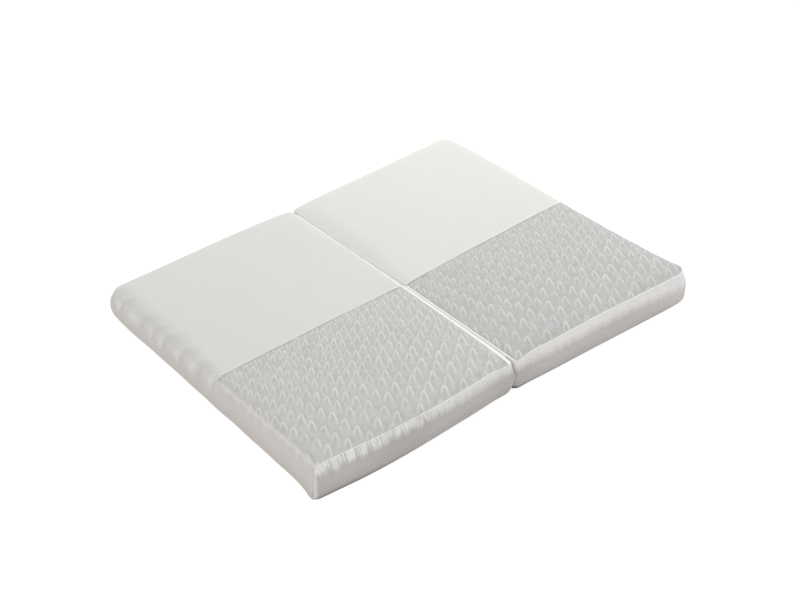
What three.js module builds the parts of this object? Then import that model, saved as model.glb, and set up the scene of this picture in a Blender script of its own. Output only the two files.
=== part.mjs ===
// A folding foam mattress, lying open and flat: two thick pads side by side, joined along their
// fold by a strip of cloth. The back half of the top is plain knit and the front half is a grey
// figured knit. A band of mesh closes the front, and plain cloth closes the outer side and the back.
//
// Millimetres. X runs from the left pad to the right pad, Y from the front to the back, Z up.
// Each pad's points are worked out from its own side of the fold, with "away" as the distance
// from the fold, and are then set to the left or to the right.
import * as THREE from 'three';

// Driving sizes.
const padHeight = 74;
const crownHeight = 3;
const clothThickness = 1.5;
const meshThickness = 2.5;
const weltProud = 0.5;
const hingeThickness = 1;
const hingeRoom = 0.5;
const seamGap = 0.5;
const foldGap = 0.3;
const weltEndGap = 0.8;
const hingeEndGap = 2;

// The wall's shape: its belly, the foot that would start to turn under at the full height, and the
// levels of its rings. Levels are shares of the height of the top edge.
const bellyLevel = 0.5;
const shoulderPower = 2.4;
const footForFullRise = 36;
const wallLevels = [1, 0.94, 0.88, 0.78, 0.6, 0.4, 0.2, 0.1, 0.045, 0];
const hingeLevel = wallLevels.indexOf(0.94);
const ledgeLevel = wallLevels.indexOf(0.88);
const hemLevel = wallLevels.indexOf(0.045);
const footLevel = wallLevels.length - 1;

// Grid lines of the top: their distances from either end of a side, and the cells between them.
const edgeSteps = [5, 13, 25, 45, 80];
const acrossMiddleCells = 5;
const halfDepthMiddleCells = 3;
const lastColumn = 2 * edgeSteps.length + acrossMiddleCells;
const lastRow = 2 * (edgeSteps.length + 1 + halfDepthMiddleCells);
const seamRow = lastRow / 2;
const weltColumn = 1;
const cornerSteps = 3;

// The two pads. Corners give the widest outline. An edge's rows run from the fold outwards, or from
// the front to the back: "at" is the share of the way, "inset" how far the top edge lies inside the
// widest outline, "drop" how far it lies under the top, "roll" the width of top that rounds down,
// and "foot" how far the wall turns under at the floor.
const pads = [
  {
    name: 'left',
    side: -1,
    corners: {
      foldFront: { away: foldGap / 2, back: -352, radius: 11 },
      outerFront: { away: 491, back: -355, radius: 12 },
      outerBack: { away: 469, back: 374, radius: 38 },
      foldBack: { away: foldGap / 2, back: 362, radius: 16 },
    },
    frontBow: 12,
    backBow: 0,
    outerBow: -2,
    seamAt: { fold: -21, outer: -29 },
    weltWidth: [{ at: 0, width: 8 }, { at: 0.5, width: 5 }, { at: 1, width: 4 }],
    weltLastRow: lastRow,
    // The front band meets the side wall at the middle of the outer corner.
    bandEndSteps: 0,
    edges: {
      front: [
        { at: 0, inset: 5, drop: 6, roll: 24, foot: 5 },
        { at: 0.12, inset: 12, drop: 4, roll: 24, foot: 8 },
        { at: 0.3, inset: 12, drop: 4, roll: 24, foot: 8 },
        { at: 0.9, inset: 13, drop: 3, roll: 22, foot: 0 },
        { at: 1, inset: 11, drop: 3, roll: 16, foot: 0 },
      ],
      fold: [
        { at: 0, inset: 5, drop: 6, roll: 24, foot: 5 },
        { at: 0.5, inset: 3, drop: 3, roll: 20, foot: 6 },
        { at: 1, inset: 2.5, drop: 8, roll: 30, foot: 7 },
      ],
      back: [
        { at: 0, inset: 2.5, drop: 8, roll: 30, foot: 7 },
        { at: 0.2, inset: 7, drop: 4, roll: 24, foot: 8 },
        { at: 1, inset: 10, drop: 12, roll: 36, foot: 22 },
      ],
      outer: [
        { at: 0, inset: 11, drop: 3, roll: 16, foot: 0 },
        { at: 0.48, inset: 10, drop: 4, roll: 16, foot: 7 },
        { at: 0.62, inset: 9, drop: 11, roll: 38, foot: 12 },
        { at: 1, inset: 10, drop: 12, roll: 40, foot: 22 },
      ],
    },
  },
  {
    name: 'right',
    side: 1,
    corners: {
      foldFront: { away: foldGap / 2, back: -351, radius: 12 },
      outerFront: { away: 497, back: -361, radius: 42 },
      outerBack: { away: 458, back: 384, radius: 16 },
      foldBack: { away: foldGap / 2, back: 364, radius: 16 },
    },
    frontBow: 2,
    backBow: -2,
    outerBow: -4,
    seamAt: { fold: -23, outer: -2 },
    weltWidth: [{ at: 0, width: 3.2 }, { at: 1, width: 3.2 }],
    weltLastRow: seamRow,
    // The front band runs on round the rounded outer corner.
    bandEndSteps: cornerSteps,
    edges: {
      front: [
        { at: 0, inset: 2, drop: 5, roll: 26, foot: 2 },
        { at: 0.12, inset: 11, drop: 5, roll: 26, foot: 4 },
        { at: 0.5, inset: 12, drop: 1, roll: 24, foot: 6 },
        { at: 0.9, inset: 12, drop: 4, roll: 24, foot: 5 },
        { at: 1, inset: 11, drop: 6, roll: 24, foot: 6 },
      ],
      fold: [
        { at: 0, inset: 2, drop: 5, roll: 26, foot: 2 },
        { at: 0.5, inset: 2, drop: 3.5, roll: 22, foot: 6 },
        { at: 0.64, inset: 2, drop: 10, roll: 52, foot: 7 },
        { at: 1, inset: 2.5, drop: 9, roll: 48, foot: 7 },
      ],
      back: [
        { at: 0, inset: 2.5, drop: 9, roll: 48, foot: 7 },
        { at: 0.2, inset: 7, drop: 4, roll: 26, foot: 7 },
        { at: 1, inset: 7, drop: 7, roll: 30, foot: 7 },
      ],
      outer: [
        { at: 0, inset: 11, drop: 6, roll: 24, foot: 6 },
        { at: 0.1, inset: 6, drop: 3, roll: 22, foot: 5 },
        { at: 0.4, inset: 9, drop: 4, roll: 24, foot: 6 },
        { at: 0.7, inset: 4, drop: 3, roll: 24, foot: 7 },
        { at: 1, inset: 7, drop: 7, roll: 30, foot: 7 },
      ],
    },
  },
];

const mix = THREE.MathUtils.lerp;

// The value of one named column between the rows of a table, with soft turns at the rows.
function along(rows, at, column) {
  const last = rows.length - 1;
  if (at <= rows[0].at) return rows[0][column];
  if (at >= rows[last].at) return rows[last][column];
  const next = rows.findIndex((row) => row.at > at);
  const from = rows[next - 1];
  const to = rows[next];
  return mix(from[column], to[column], THREE.MathUtils.smoothstep(at, from.at, to.at));
}

// Distances of the grid lines across a length: close together near an end that is an edge.
function gridLines(length, middleCells, closeAtEnd) {
  const reach = edgeSteps[edgeSteps.length - 1];
  const end = closeAtEnd ? length - reach : length;
  const lines = [0, ...edgeSteps];
  for (let cell = 1; cell < middleCells; cell += 1) {
    lines.push(mix(reach, end, cell / middleCells));
  }
  lines.push(end);
  if (closeAtEnd) {
    const closeLines = edgeSteps.slice(0, -1).reverse();
    lines.push(...closeLines.map((step) => length - step), length);
  }
  return lines;
}

// Rounds a corner: a point closer than the radius to both edges slides onto the quarter disc.
function roundCorner(fromSide, fromEnd, radius) {
  if (fromSide >= radius || fromEnd >= radius) return [fromSide, fromEnd];
  const across = (radius - fromSide) / radius;
  const lengthways = (radius - fromEnd) / radius;
  return [
    radius - radius * across * Math.sqrt(1 - lengthways * lengthways / 2),
    radius - radius * lengthways * Math.sqrt(1 - across * across / 2),
  ];
}

// One point of a pad's top, from its column and row.
function topPoint(pad, column, row) {
  const { foldFront, outerFront, outerBack, foldBack } = pad.corners;
  const { front, fold, back, outer } = pad.edges;
  const v = row / lastRow;
  const foldEdge = foldFront.away + along(fold, v, 'inset');
  const outerEdge = mix(outerFront.away, outerBack.away, v) + pad.outerBow * Math.sin(Math.PI * v);
  const width = outerEdge - along(outer, v, 'inset') - foldEdge;
  const columns = gridLines(width, acrossMiddleCells, true);
  columns[weltColumn] = along(pad.weltWidth, v, 'width');
  const fromFold = columns[column];
  const fromOuter = width - fromFold;
  const u = fromFold / width;

  const bow = Math.sin(Math.PI * u);
  const frontEdge = mix(foldFront.back, outerFront.back, u) - pad.frontBow * bow + along(front, u, 'inset');
  const backEdge = mix(foldBack.back, outerBack.back, u) + pad.backBow * bow - along(back, u, 'inset');
  const seam = mix(pad.seamAt.fold, pad.seamAt.outer, u);
  const frontRows = gridLines(seam - frontEdge, halfDepthMiddleCells + 1, false);
  const backRows = gridLines(backEdge - seam, halfDepthMiddleCells + 1, false);
  const depth = backEdge - frontEdge;
  const fromFront = row <= seamRow ? frontRows[row] : depth - backRows[lastRow - row];
  const fromBack = depth - fromFront;

  const crown = crownHeight * (1 - (2 * u - 1) ** 4) * (1 - (2 * v - 1) ** 4);
  const fall = (edge, at, distance) => {
    const roll = along(edge, at, 'roll');
    return distance < roll ? along(edge, at, 'drop') * (1 - distance / roll) ** 2 : 0;
  };
  const endFall = Math.max(fall(front, u, fromFront), fall(back, u, fromBack));
  const sideFall = Math.max(fall(fold, v, fromFold), fall(outer, v, fromOuter));
  const cornerFall = Math.max(endFall, sideFall) + Math.min(endFall, sideFall) / 4;
  const height = padHeight + crown - cornerFall;

  const nearFold = fromFold < fromOuter;
  const nearFront = fromFront < fromBack;
  const corner = nearFront ? (nearFold ? foldFront : outerFront) : (nearFold ? foldBack : outerBack);
  const cornerInset = along(nearFront ? front : back, nearFold ? 0 : 1, 'inset');
  const [fromSide, fromEnd] = roundCorner(
    nearFold ? fromFold : fromOuter,
    nearFront ? fromFront : fromBack,
    corner.radius - cornerInset,
  );
  const away = foldEdge + (nearFold ? fromSide : width - fromSide);
  return new THREE.Vector3(
    pad.side * away,
    nearFront ? frontEdge + fromEnd : backEdge - fromEnd,
    height,
  );
}

// How far the wall stands outside the top edge at a level, from that edge's inset and foot.
function wallReach(inset, foot, level) {
  const shoulder = Math.max((level - bellyLevel) / (1 - bellyLevel), 0) ** shoulderPower;
  const rise = foot / footForFullRise;
  const tuck = level < rise ? ((rise - level) / rise) ** 2 : 0;
  return inset * (1 - shoulder) - foot * tuck;
}

// The whole skin of a pad: the grid of its top, and below the top's edge a ring of wall columns
// that runs along the front, the outer side, the back and the fold side.
function padSkin(pad) {
  const points = [];
  const topIndex = (column, row) => row * (lastColumn + 1) + column;
  for (let row = 0; row <= lastRow; row += 1) {
    for (let column = 0; column <= lastColumn; column += 1) {
      points.push(topPoint(pad, column, row));
    }
  }

  const edge = [];
  const { front, fold, back, outer } = pad.edges;
  const addEdge = (column, row, rows) => {
    const start = points[topIndex(0, row)].x;
    const end = points[topIndex(lastColumn, row)].x;
    const alongEnd = rows === front || rows === back;
    const at = alongEnd ? (points[topIndex(column, row)].x - start) / (end - start) : row / lastRow;
    const [inset, foot] = ['inset', 'foot'].map((name) => along(rows, at, name));
    edge.push({ index: topIndex(column, row), inset, foot });
  };
  for (let column = 0; column < lastColumn; column += 1) addEdge(column, 0, front);
  for (let row = 0; row < lastRow; row += 1) addEdge(lastColumn, row, outer);
  for (let column = lastColumn; column > 0; column -= 1) addEdge(column, lastRow, back);
  for (let row = lastRow; row > 0; row -= 1) addEdge(0, row, fold);

  const wall = edge.map(({ index }) => [index]);
  edge.forEach(({ index, inset, foot }, position) => {
    const here = points[index];
    const before = points[edge.at(position - 1).index];
    const after = points[edge[(position + 1) % edge.length].index];
    const way = new THREE.Vector2(after.x - before.x, after.y - before.y).normalize();
    for (const level of wallLevels.slice(1)) {
      const reach = pad.side * wallReach(inset, foot, level);
      wall[position].push(points.length);
      points.push(new THREE.Vector3(here.x + way.y * reach, here.y - way.x * reach, here.z * level));
    }
  });

  const quads = [];
  const addQuad = (...corners) => quads.push(pad.side > 0 ? corners : corners.reverse());
  for (let row = 0; row < lastRow; row += 1) {
    for (let column = 0; column < lastColumn; column += 1) {
      const nearSide = [topIndex(column, row), topIndex(column + 1, row)];
      const farSide = [topIndex(column + 1, row + 1), topIndex(column, row + 1)];
      addQuad(...nearSide, ...farSide);
    }
  }
  wall.forEach((here, position) => {
    const next = wall[(position + 1) % wall.length];
    for (let level = 0; level < footLevel; level += 1) {
      addQuad(here[level + 1], next[level + 1], next[level], here[level]);
    }
  });
  return { points, quads, wall, topIndex, steps: outwardSteps(points, quads) };
}

// For every point, the vector that carries all the faces around it outwards by one millimetre.
function outwardSteps(points, quads) {
  const faceNormals = points.map(() => []);
  for (const quad of quads) {
    const [a, b, c, d] = quad.map((index) => points[index]);
    const diagonal = new THREE.Vector3().subVectors(c, a);
    const normal = diagonal.cross(new THREE.Vector3().subVectors(d, b)).normalize();
    quad.forEach((index) => faceNormals[index].push(normal));
  }
  const steepest = 0.4;
  return faceNormals.map((normals) => {
    const direction = new THREE.Vector3();
    normals.forEach((normal) => direction.add(normal));
    direction.normalize();
    const lean = Math.min(...normals.map((normal) => normal.dot(direction)));
    return direction.divideScalar(Math.max(lean, steepest));
  });
}

function closedGeometry(points, faces) {
  const indices = [];
  for (const corners of faces) {
    for (let corner = 2; corner < corners.length; corner += 1) {
      indices.push(corners[0], corners[corner - 1], corners[corner]);
    }
  }
  const geometry = new THREE.BufferGeometry();
  geometry.setFromPoints(points);
  geometry.setIndex(indices);
  geometry.computeVertexNormals();
  return geometry;
}

// Ranges of wall columns, counted from the fold's front corner.
function bandRange(pad) {
  return { from: -cornerSteps, to: lastColumn + pad.bandEndSteps };
}

function plainWallRange(pad) {
  return { from: lastColumn + pad.bandEndSteps, to: 2 * lastColumn + lastRow + cornerSteps };
}

function wallColumns(skin, range) {
  const columns = [];
  for (let position = range.from; position <= range.to; position += 1) {
    columns.push(skin.wall.at(position % skin.wall.length));
  }
  return columns;
}

// The filled pad. Where cloth covers it, it lies under the cloth by its thickness and a gap.
function padGeometry(pad, skin) {
  const recess = skin.points.map(() => 0);
  const sink = (indices, depth) => {
    for (const index of indices) recess[index] = Math.max(recess[index], depth);
  };
  for (let row = 0; row <= lastRow; row += 1) {
    for (let column = 0; column <= lastColumn; column += 1) {
      sink([skin.topIndex(column, row)], clothThickness + seamGap);
    }
  }
  const foldRange = { from: 2 * lastColumn + lastRow + cornerSteps, to: skin.wall.length };
  for (const column of wallColumns(skin, foldRange)) {
    sink(column.slice(0, ledgeLevel + 1), hingeThickness + hingeRoom);
  }
  for (const column of wallColumns(skin, plainWallRange(pad))) {
    sink(column.slice(0, footLevel), clothThickness + seamGap);
  }
  for (const column of wallColumns(skin, bandRange(pad))) {
    sink(column.slice(0, footLevel), meshThickness + seamGap);
  }
  const points = skin.points.map((point, index) => {
    return point.clone().addScaledVector(skin.steps[index], -recess[index]);
  });
  const base = skin.wall.map((column) => column[footLevel]);
  if (pad.side > 0) base.reverse();
  const { foldFront, outerFront, outerBack } = pad.corners;
  const middle = points.length;
  points.push(new THREE.Vector3(
    pad.side * (foldFront.away + outerFront.away) / 2,
    (outerFront.back + outerBack.back) / 2,
    0,
  ));
  const faces = [...skin.quads];
  base.forEach((index, position) => faces.push([middle, index, base[(position + 1) % base.length]]));
  return closedGeometry(points, faces);
}

// A sheet of cloth over a patch, which is rows of point indices. Its sides are drawn in by half a
// seam gap, its ends by the end gap, and "proud" lifts its face above the points.
function sheetGeometry(surface, patch, { thickness, proud = 0, endGap = seamGap / 2 }) {
  const endRow = patch.length - 1;
  const endColumn = patch[0].length - 1;
  const pointAt = (row, column) => surface.points[patch[row][column]];
  const drawnIn = (row, column) => {
    const home = pointAt(row, column);
    const point = home.clone();
    const pull = (neighbour, gap) => {
      point.addScaledVector(new THREE.Vector3().subVectors(neighbour, home).normalize(), gap);
    };
    if (row === 0) pull(pointAt(1, column), endGap);
    if (row === endRow) pull(pointAt(endRow - 1, column), endGap);
    if (column === 0) pull(pointAt(row, 1), seamGap / 2);
    if (column === endColumn) pull(pointAt(row, endColumn - 1), seamGap / 2);
    return point;
  };
  const points = [];
  for (const depth of [-proud, thickness - proud]) {
    patch.forEach((line, row) => line.forEach((index, column) => {
      points.push(drawnIn(row, column).addScaledVector(surface.steps[index], -depth));
    }));
  }
  const outside = (row, column) => row * (endColumn + 1) + column;
  const inside = (row, column) => points.length / 2 + outside(row, column);
  const faces = [];
  for (let row = 0; row < endRow; row += 1) {
    for (let column = 0; column < endColumn; column += 1) {
      const corners = [[row, column], [row, column + 1], [row + 1, column + 1], [row + 1, column]];
      faces.push(corners.map((corner) => outside(...corner)));
      const [first, ...others] = corners.map((corner) => inside(...corner));
      faces.push([first, ...others.reverse()]);
    }
  }
  const rim = [];
  for (let column = 0; column < endColumn; column += 1) rim.push([0, column]);
  for (let row = 0; row < endRow; row += 1) rim.push([row, endColumn]);
  for (let column = endColumn; column > 0; column -= 1) rim.push([endRow, column]);
  for (let row = endRow; row > 0; row -= 1) rim.push([row, 0]);
  rim.forEach((corner, position) => {
    const next = rim[(position + 1) % rim.length];
    faces.push([outside(...corner), inside(...corner), inside(...next), outside(...next)]);
  });
  return closedGeometry(points, faces);
}

// A patch's lines run to the right as seen from its face, so a left pad's lines are turned round.
function facing(pad, line) {
  return pad.side > 0 ? line : line.reverse();
}

function topPatch(pad, skin, firstColumn, endColumn, firstRow, endRow) {
  const patch = [];
  for (let row = firstRow; row <= endRow; row += 1) {
    const line = [];
    for (let column = firstColumn; column <= endColumn; column += 1) line.push(skin.topIndex(column, row));
    patch.push(facing(pad, line));
  }
  return patch;
}

function wallPatch(pad, skin, range) {
  const patch = [];
  for (let level = hemLevel; level >= 0; level -= 1) {
    patch.push(facing(pad, wallColumns(skin, range).map((column) => column[level])));
  }
  return patch;
}

// The strip that joins the pads: it goes down one pad's edge, across the fold and up the other's.
function hingeGeometry(skins) {
  const points = [];
  const skinSteps = [];
  const rowTotal = lastRow + 1 - 2 * cornerSteps;
  for (let row = cornerSteps; row <= lastRow - cornerSteps; row += 1) {
    const [left, right] = skins.map((skin) => ({ skin, column: skin.wall.at(-row) }));
    const stops = [[left, 0], [left, hingeLevel], [right, hingeLevel], [right, 0]];
    for (const [{ skin, column }, level] of stops) {
      points.push(skin.points[column[level]].clone());
      skinSteps.push(level === 0 ? skin.steps[column[level]] : null);
    }
  }
  const stopTotal = points.length / rowTotal;
  const patch = [];
  const quads = [];
  for (let row = 0; row < rowTotal; row += 1) {
    patch.push([...Array(stopTotal).keys()].map((stop) => row * stopTotal + stop));
    if (row === 0) continue;
    for (let stop = 1; stop < stopTotal; stop += 1) {
      quads.push([patch[row - 1][stop - 1], patch[row - 1][stop], patch[row][stop], patch[row][stop - 1]]);
    }
  }
  const steps = outwardSteps(points, quads).map((step, index) => skinSteps[index] ?? step);
  return sheetGeometry({ points, steps }, patch, { thickness: hingeThickness, endGap: hingeEndGap });
}

const mattress = new THREE.Group();

function addPiece(name, geometry, color, roughness) {
  const mesh = new THREE.Mesh(geometry, new THREE.MeshStandardMaterial({ color, roughness, metalness: 0 }));
  mesh.name = name;
  mattress.add(mesh);
}

function addPad(pad, skin) {
  const { name, weltLastRow } = pad;
  const plainColumn = weltLastRow === lastRow ? weltColumn : 0;
  const plainTop = topPatch(pad, skin, plainColumn, lastColumn, seamRow, lastRow);
  const figuredTop = topPatch(pad, skin, weltColumn, lastColumn, 0, seamRow);
  const welt = topPatch(pad, skin, 0, weltColumn, 0, weltLastRow);
  const band = wallPatch(pad, skin, bandRange(pad));
  const plainWall = wallPatch(pad, skin, plainWallRange(pad));
  const knit = { thickness: clothThickness };
  const mesh = { thickness: meshThickness };
  const weltCloth = { thickness: clothThickness + weltProud, proud: weltProud, endGap: weltEndGap };
  addPiece(`pad_${name}`, padGeometry(pad, skin), 0xd8d6d2, 0.95);
  addPiece(`top_plain_${name}`, sheetGeometry(skin, plainTop, knit), 0xe9e8e4, 0.9);
  addPiece(`top_figured_${name}`, sheetGeometry(skin, figuredTop, knit), 0xc6c5c3, 0.85);
  addPiece(`band_mesh_${name}`, sheetGeometry(skin, band, mesh), 0xd4d1ce, 0.9);
  addPiece(`wall_plain_${name}`, sheetGeometry(skin, plainWall, knit), 0xe2dfda, 0.9);
  addPiece(`welt_${name}`, sheetGeometry(skin, welt, weltCloth), 0xf2f1ee, 0.8);
}

const skins = pads.map(padSkin);
pads.forEach((pad, index) => addPad(pad, skins[index]));
addPiece('hinge_strip', hingeGeometry(skins), 0xdcdbd8, 0.9);

// The origin is at the middle of the base.
const box = new THREE.Box3().setFromObject(mattress);
mattress.position.set(-(box.min.x + box.max.x) / 2, -(box.min.y + box.max.y) / 2, -box.min.z);

export default mattress;
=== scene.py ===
# %% [markdown]
# # A folding foam mattress
# The mattress is two thick pads that lie side by side and fold together along the middle. This
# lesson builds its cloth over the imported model: knit tops, mesh bands across the front, knit side
# walls, the white tape along the fold, the strip that joins the pads, and the filled pads inside.
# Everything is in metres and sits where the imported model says.

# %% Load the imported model
import math

import bpy
import numpy as np
from mathutils import Matrix, Vector


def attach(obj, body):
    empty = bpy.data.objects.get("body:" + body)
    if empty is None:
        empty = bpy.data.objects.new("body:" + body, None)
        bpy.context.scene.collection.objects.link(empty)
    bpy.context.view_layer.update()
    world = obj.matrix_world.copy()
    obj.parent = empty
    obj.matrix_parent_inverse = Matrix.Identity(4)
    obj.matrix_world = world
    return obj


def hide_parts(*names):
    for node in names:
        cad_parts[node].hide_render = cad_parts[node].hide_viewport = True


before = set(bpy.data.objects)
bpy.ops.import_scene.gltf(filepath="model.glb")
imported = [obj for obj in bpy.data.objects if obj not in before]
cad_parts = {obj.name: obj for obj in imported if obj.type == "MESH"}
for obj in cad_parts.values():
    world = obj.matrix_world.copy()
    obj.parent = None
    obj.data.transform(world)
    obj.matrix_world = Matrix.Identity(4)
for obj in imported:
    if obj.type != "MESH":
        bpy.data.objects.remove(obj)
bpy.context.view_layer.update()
bpy.ops.object.select_all(action="DESELECT")

# %% [markdown]
# ## The camera
# The photograph looks down at the mattress from its front left corner. A camera can be placed by
# eye, but then no edge quite meets its place in the picture, so this one was fitted to the outline
# in the photograph. That gave its turn, its angle above the floor, its distance in depths of the
# mattress, and how far the middle of the picture lies from the middle of the fold. The pads are
# laid out from the middle of the fold, in millimetres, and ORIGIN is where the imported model's own
# origin lies in that layout.

# %% Camera
MM = 0.001
ORIGIN = np.array((-0.337, 8.899, 0.0))
DEPTH = 0.7
MIDDLE = Vector(-ORIGIN * MM)
CAMERA_AWAY, CAMERA_RIGHT, CAMERA_UP = 5.2963, 0.0071, 0.0286
LENS = 81.0
SENSOR = 36.0

turn = math.radians(-39.9791)
rise = math.radians(35.6453)
back = Vector((math.sin(turn) * math.cos(rise), -math.cos(turn) * math.cos(rise), math.sin(rise)))
right = Vector((math.cos(turn), math.sin(turn), 0.0))
up = back.cross(right)
eye = MIDDLE + DEPTH * (CAMERA_AWAY * back + CAMERA_RIGHT * right + CAMERA_UP * up)

bpy.ops.object.camera_add()
camera = bpy.context.object
camera.matrix_world = Matrix.Translation(eye) @ Matrix((right, up, back)).transposed().to_4x4()
camera.data.lens = LENS
camera.data.sensor_width = SENSOR
camera.data.dof.use_dof = False
bpy.context.scene.camera = camera
print("camera stands", round(eye.z, 2), "m above the floor")

# %% [markdown]
# ## Floor and light
# The photograph has a plain white ground and flat studio light with hardly any shadow. The cloth
# that leans to the right is brighter than the cloth that leans to the left, so the lamp stands to
# the right and behind, as a large soft panel, and a bright sky fills in all round. A lit white
# floor would need much more light to look white, and would bleach the cloth, so the floor glows a
# little by itself.

# %% Floor and light
SKY = 0.78
SKY_COLOR = (1.0, 0.995, 0.985, 1.0)
KEY_PLACE, KEY_SIZE, KEY_WATTS = (1.5, 0.9, 1.9), 1.6, 34.0
FILL_PLACE, FILL_SIZE, FILL_WATTS = (-1.6, -1.2, 1.6), 2.0, 4.0
FLOOR_SIZE = 40.0
FLOOR_DROP = 0.0006
FLOOR_GREY = 0.3
FLOOR_GLOW = 0.85


def aim(lamp, target):
    lamp.rotation_euler = (Vector(target) - lamp.location).to_track_quat("-Z", "Y").to_euler()


def panel(name, place, size, watts):
    bpy.ops.object.light_add(type="AREA", location=place)
    lamp = bpy.context.object
    lamp.name = name
    lamp.data.size = size
    lamp.data.energy = watts
    aim(lamp, (0.0, 0.0, 0.0))
    return lamp


panel("key_panel", KEY_PLACE, KEY_SIZE, KEY_WATTS)
panel("fill_panel", FILL_PLACE, FILL_SIZE, FILL_WATTS)

world = bpy.data.worlds.new("studio")
world.use_nodes = True
world.node_tree.nodes["Background"].inputs["Color"].default_value = SKY_COLOR
world.node_tree.nodes["Background"].inputs["Strength"].default_value = SKY
bpy.context.scene.world = world
bpy.context.scene.view_settings.view_transform = "Standard"

bpy.ops.mesh.primitive_plane_add(size=FLOOR_SIZE, location=(0.0, 0.0, -FLOOR_DROP))
floor = bpy.context.object
floor.name = "floor"
floor_paint = bpy.data.materials.new("white_floor")
floor_paint.use_nodes = True
floor_shader = floor_paint.node_tree.nodes["Principled BSDF"]
floor_shader.inputs["Base Color"].default_value = (FLOOR_GREY, FLOOR_GREY, FLOOR_GREY, 1.0)
floor_shader.inputs["Roughness"].default_value = 0.9
floor_shader.inputs["Emission Color"].default_value = (1.0, 1.0, 1.0, 1.0)
floor_shader.inputs["Emission Strength"].default_value = FLOOR_GLOW
floor.data.materials.append(floor_paint)

# %% [markdown]
# ## Shader sums
# A finish is easier to read as a sum than as a web of nodes. A Wire is one output of a node, and
# Python's own signs add the Math nodes. The functions below take Wires or numbers, so that one
# formula can both paint a pattern and raise it in the mesh.


# %% Shader sums
class Wire:
    """The output of a node, which can be used in sums."""

    def __init__(self, finish, socket):
        self.finish = finish
        self.socket = socket

    def maths(self, operation, *values):
        return self.finish.add("ShaderNodeMath", {"operation": operation}, dict(enumerate(values)))

    def __add__(self, other):
        return self.maths("ADD", self, other)

    def __radd__(self, other):
        return self.maths("ADD", other, self)

    def __sub__(self, other):
        return self.maths("SUBTRACT", self, other)

    def __rsub__(self, other):
        return self.maths("SUBTRACT", other, self)

    def __mul__(self, other):
        return self.maths("MULTIPLY", self, other)

    def __rmul__(self, other):
        return self.maths("MULTIPLY", other, self)

    def __truediv__(self, other):
        return self.maths("DIVIDE", self, other)

    def __rtruediv__(self, other):
        return self.maths("DIVIDE", other, self)

    def __pow__(self, other):
        return self.maths("POWER", self, other)


def either(operation, on_numbers):
    """A function that adds a Math node for Wires and reckons at once for numbers."""

    def act(*values):
        for value in values:
            if isinstance(value, Wire):
                return value.maths(operation, *values)
        return on_numbers(*values)

    return act


sine = either("SINE", np.sin)
whole = either("FLOOR", np.floor)
least = either("MINIMUM", np.minimum)
most = either("MAXIMUM", np.maximum)
size_of = either("ABSOLUTE", np.abs)
e_to = either("EXPONENT", np.exp)
print("sine of a number:", round(float(sine(1.0)), 3), "and whole part:", float(whole(2.7)))

# %% [markdown]
# Two shapes are used again and again: a straight ramp and a soft hump. Map Range and Color Ramp nodes
# could do the same, but a formula also works on plain numbers.


# %% Ramp and hump
def ramp(value, start, end):
    """0 up to start, 1 from end on, and a straight line between."""
    return least(most((value - start) / (end - start), 0.0), 1.0)


def hump(value, width):
    """A soft hump of height 1 round 0."""
    share = value / width
    return e_to(share * share * -1.0)


half_way = (float(ramp(0.5, 0.0, 1.0)), round(float(hump(0.5, 1.0)), 3))
print("a ramp and a hump, half way out:", half_way)

# %% [markdown]
# A Finish is one material. Every cloth here needs the same few nodes: a place on the cloth, noise,
# marks from the mesh, mixed colours, and one bump at the end.


# %% Finishes
class Finish:
    """One material, with the few moves that every finish here needs."""

    def __init__(self, name):
        self.material = bpy.data.materials.new(name)
        self.material.use_nodes = True
        self.tree = self.material.node_tree
        self.shader = self.tree.nodes["Principled BSDF"]

    def add(self, kind, settings=None, inputs=None, output=0):
        node = self.tree.nodes.new(kind)
        for name, value in (settings or {}).items():
            setattr(node, name, value)
        for name, value in (inputs or {}).items():
            self.feed(node.inputs[name], value)
        return Wire(self, node.outputs[output])

    def feed(self, socket, value):
        if isinstance(value, Wire):
            self.tree.links.new(value.socket, socket)
        else:
            socket.default_value = value

    def split(self, vector):
        return [self.add("ShaderNodeSeparateXYZ", None, {0: vector}, axis) for axis in range(3)]

    def place(self):
        return self.split(self.add("ShaderNodeTexCoord", None, None, "Object"))

    def along_cloth(self):
        return self.split(self.add("ShaderNodeUVMap", {"uv_map": "cloth"}))[:2]

    def joined(self, x, y, z=0.0):
        return self.add("ShaderNodeCombineXYZ", None, {0: x, 1: y, 2: z})

    def noise(self, scale, detail=2.0, vector=None):
        if vector is None:
            vector = self.add("ShaderNodeTexCoord", None, None, "Object")
        return self.add("ShaderNodeTexNoise", None, {"Vector": vector, "Scale": scale, "Detail": detail})

    def mark(self, name):
        return self.add("ShaderNodeAttribute", {"attribute_name": name}, None, "Fac")

    def mixed(self, factor, first, second):
        inputs = {0: factor, 6: first, 7: second}
        return self.add("ShaderNodeMix", {"data_type": "RGBA"}, inputs, 2)

    def finish(self, color, roughness, height, depth, sheen=0.15):
        normal = self.add("ShaderNodeBump", None, {"Strength": 1.0, "Distance": depth, "Height": height})
        self.feed(self.shader.inputs["Base Color"], color)
        self.feed(self.shader.inputs["Roughness"], roughness)
        self.feed(self.shader.inputs["Normal"], normal)
        self.shader.inputs["Sheen Weight"].default_value = sheen
        self.shader.inputs["Sheen Roughness"].default_value = 0.5
        self.shader.inputs["Specular IOR Level"].default_value = 0.25
        return self.material


def paint(red, green, blue):
    """A colour given as it shows on a screen, 0 to 255."""
    return tuple((value / 255) ** 2.2 for value in (red, green, blue)) + (1.0,)


print("mid grey on a screen is this strong as light:", round(paint(128, 128, 128)[0], 3))

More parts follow.
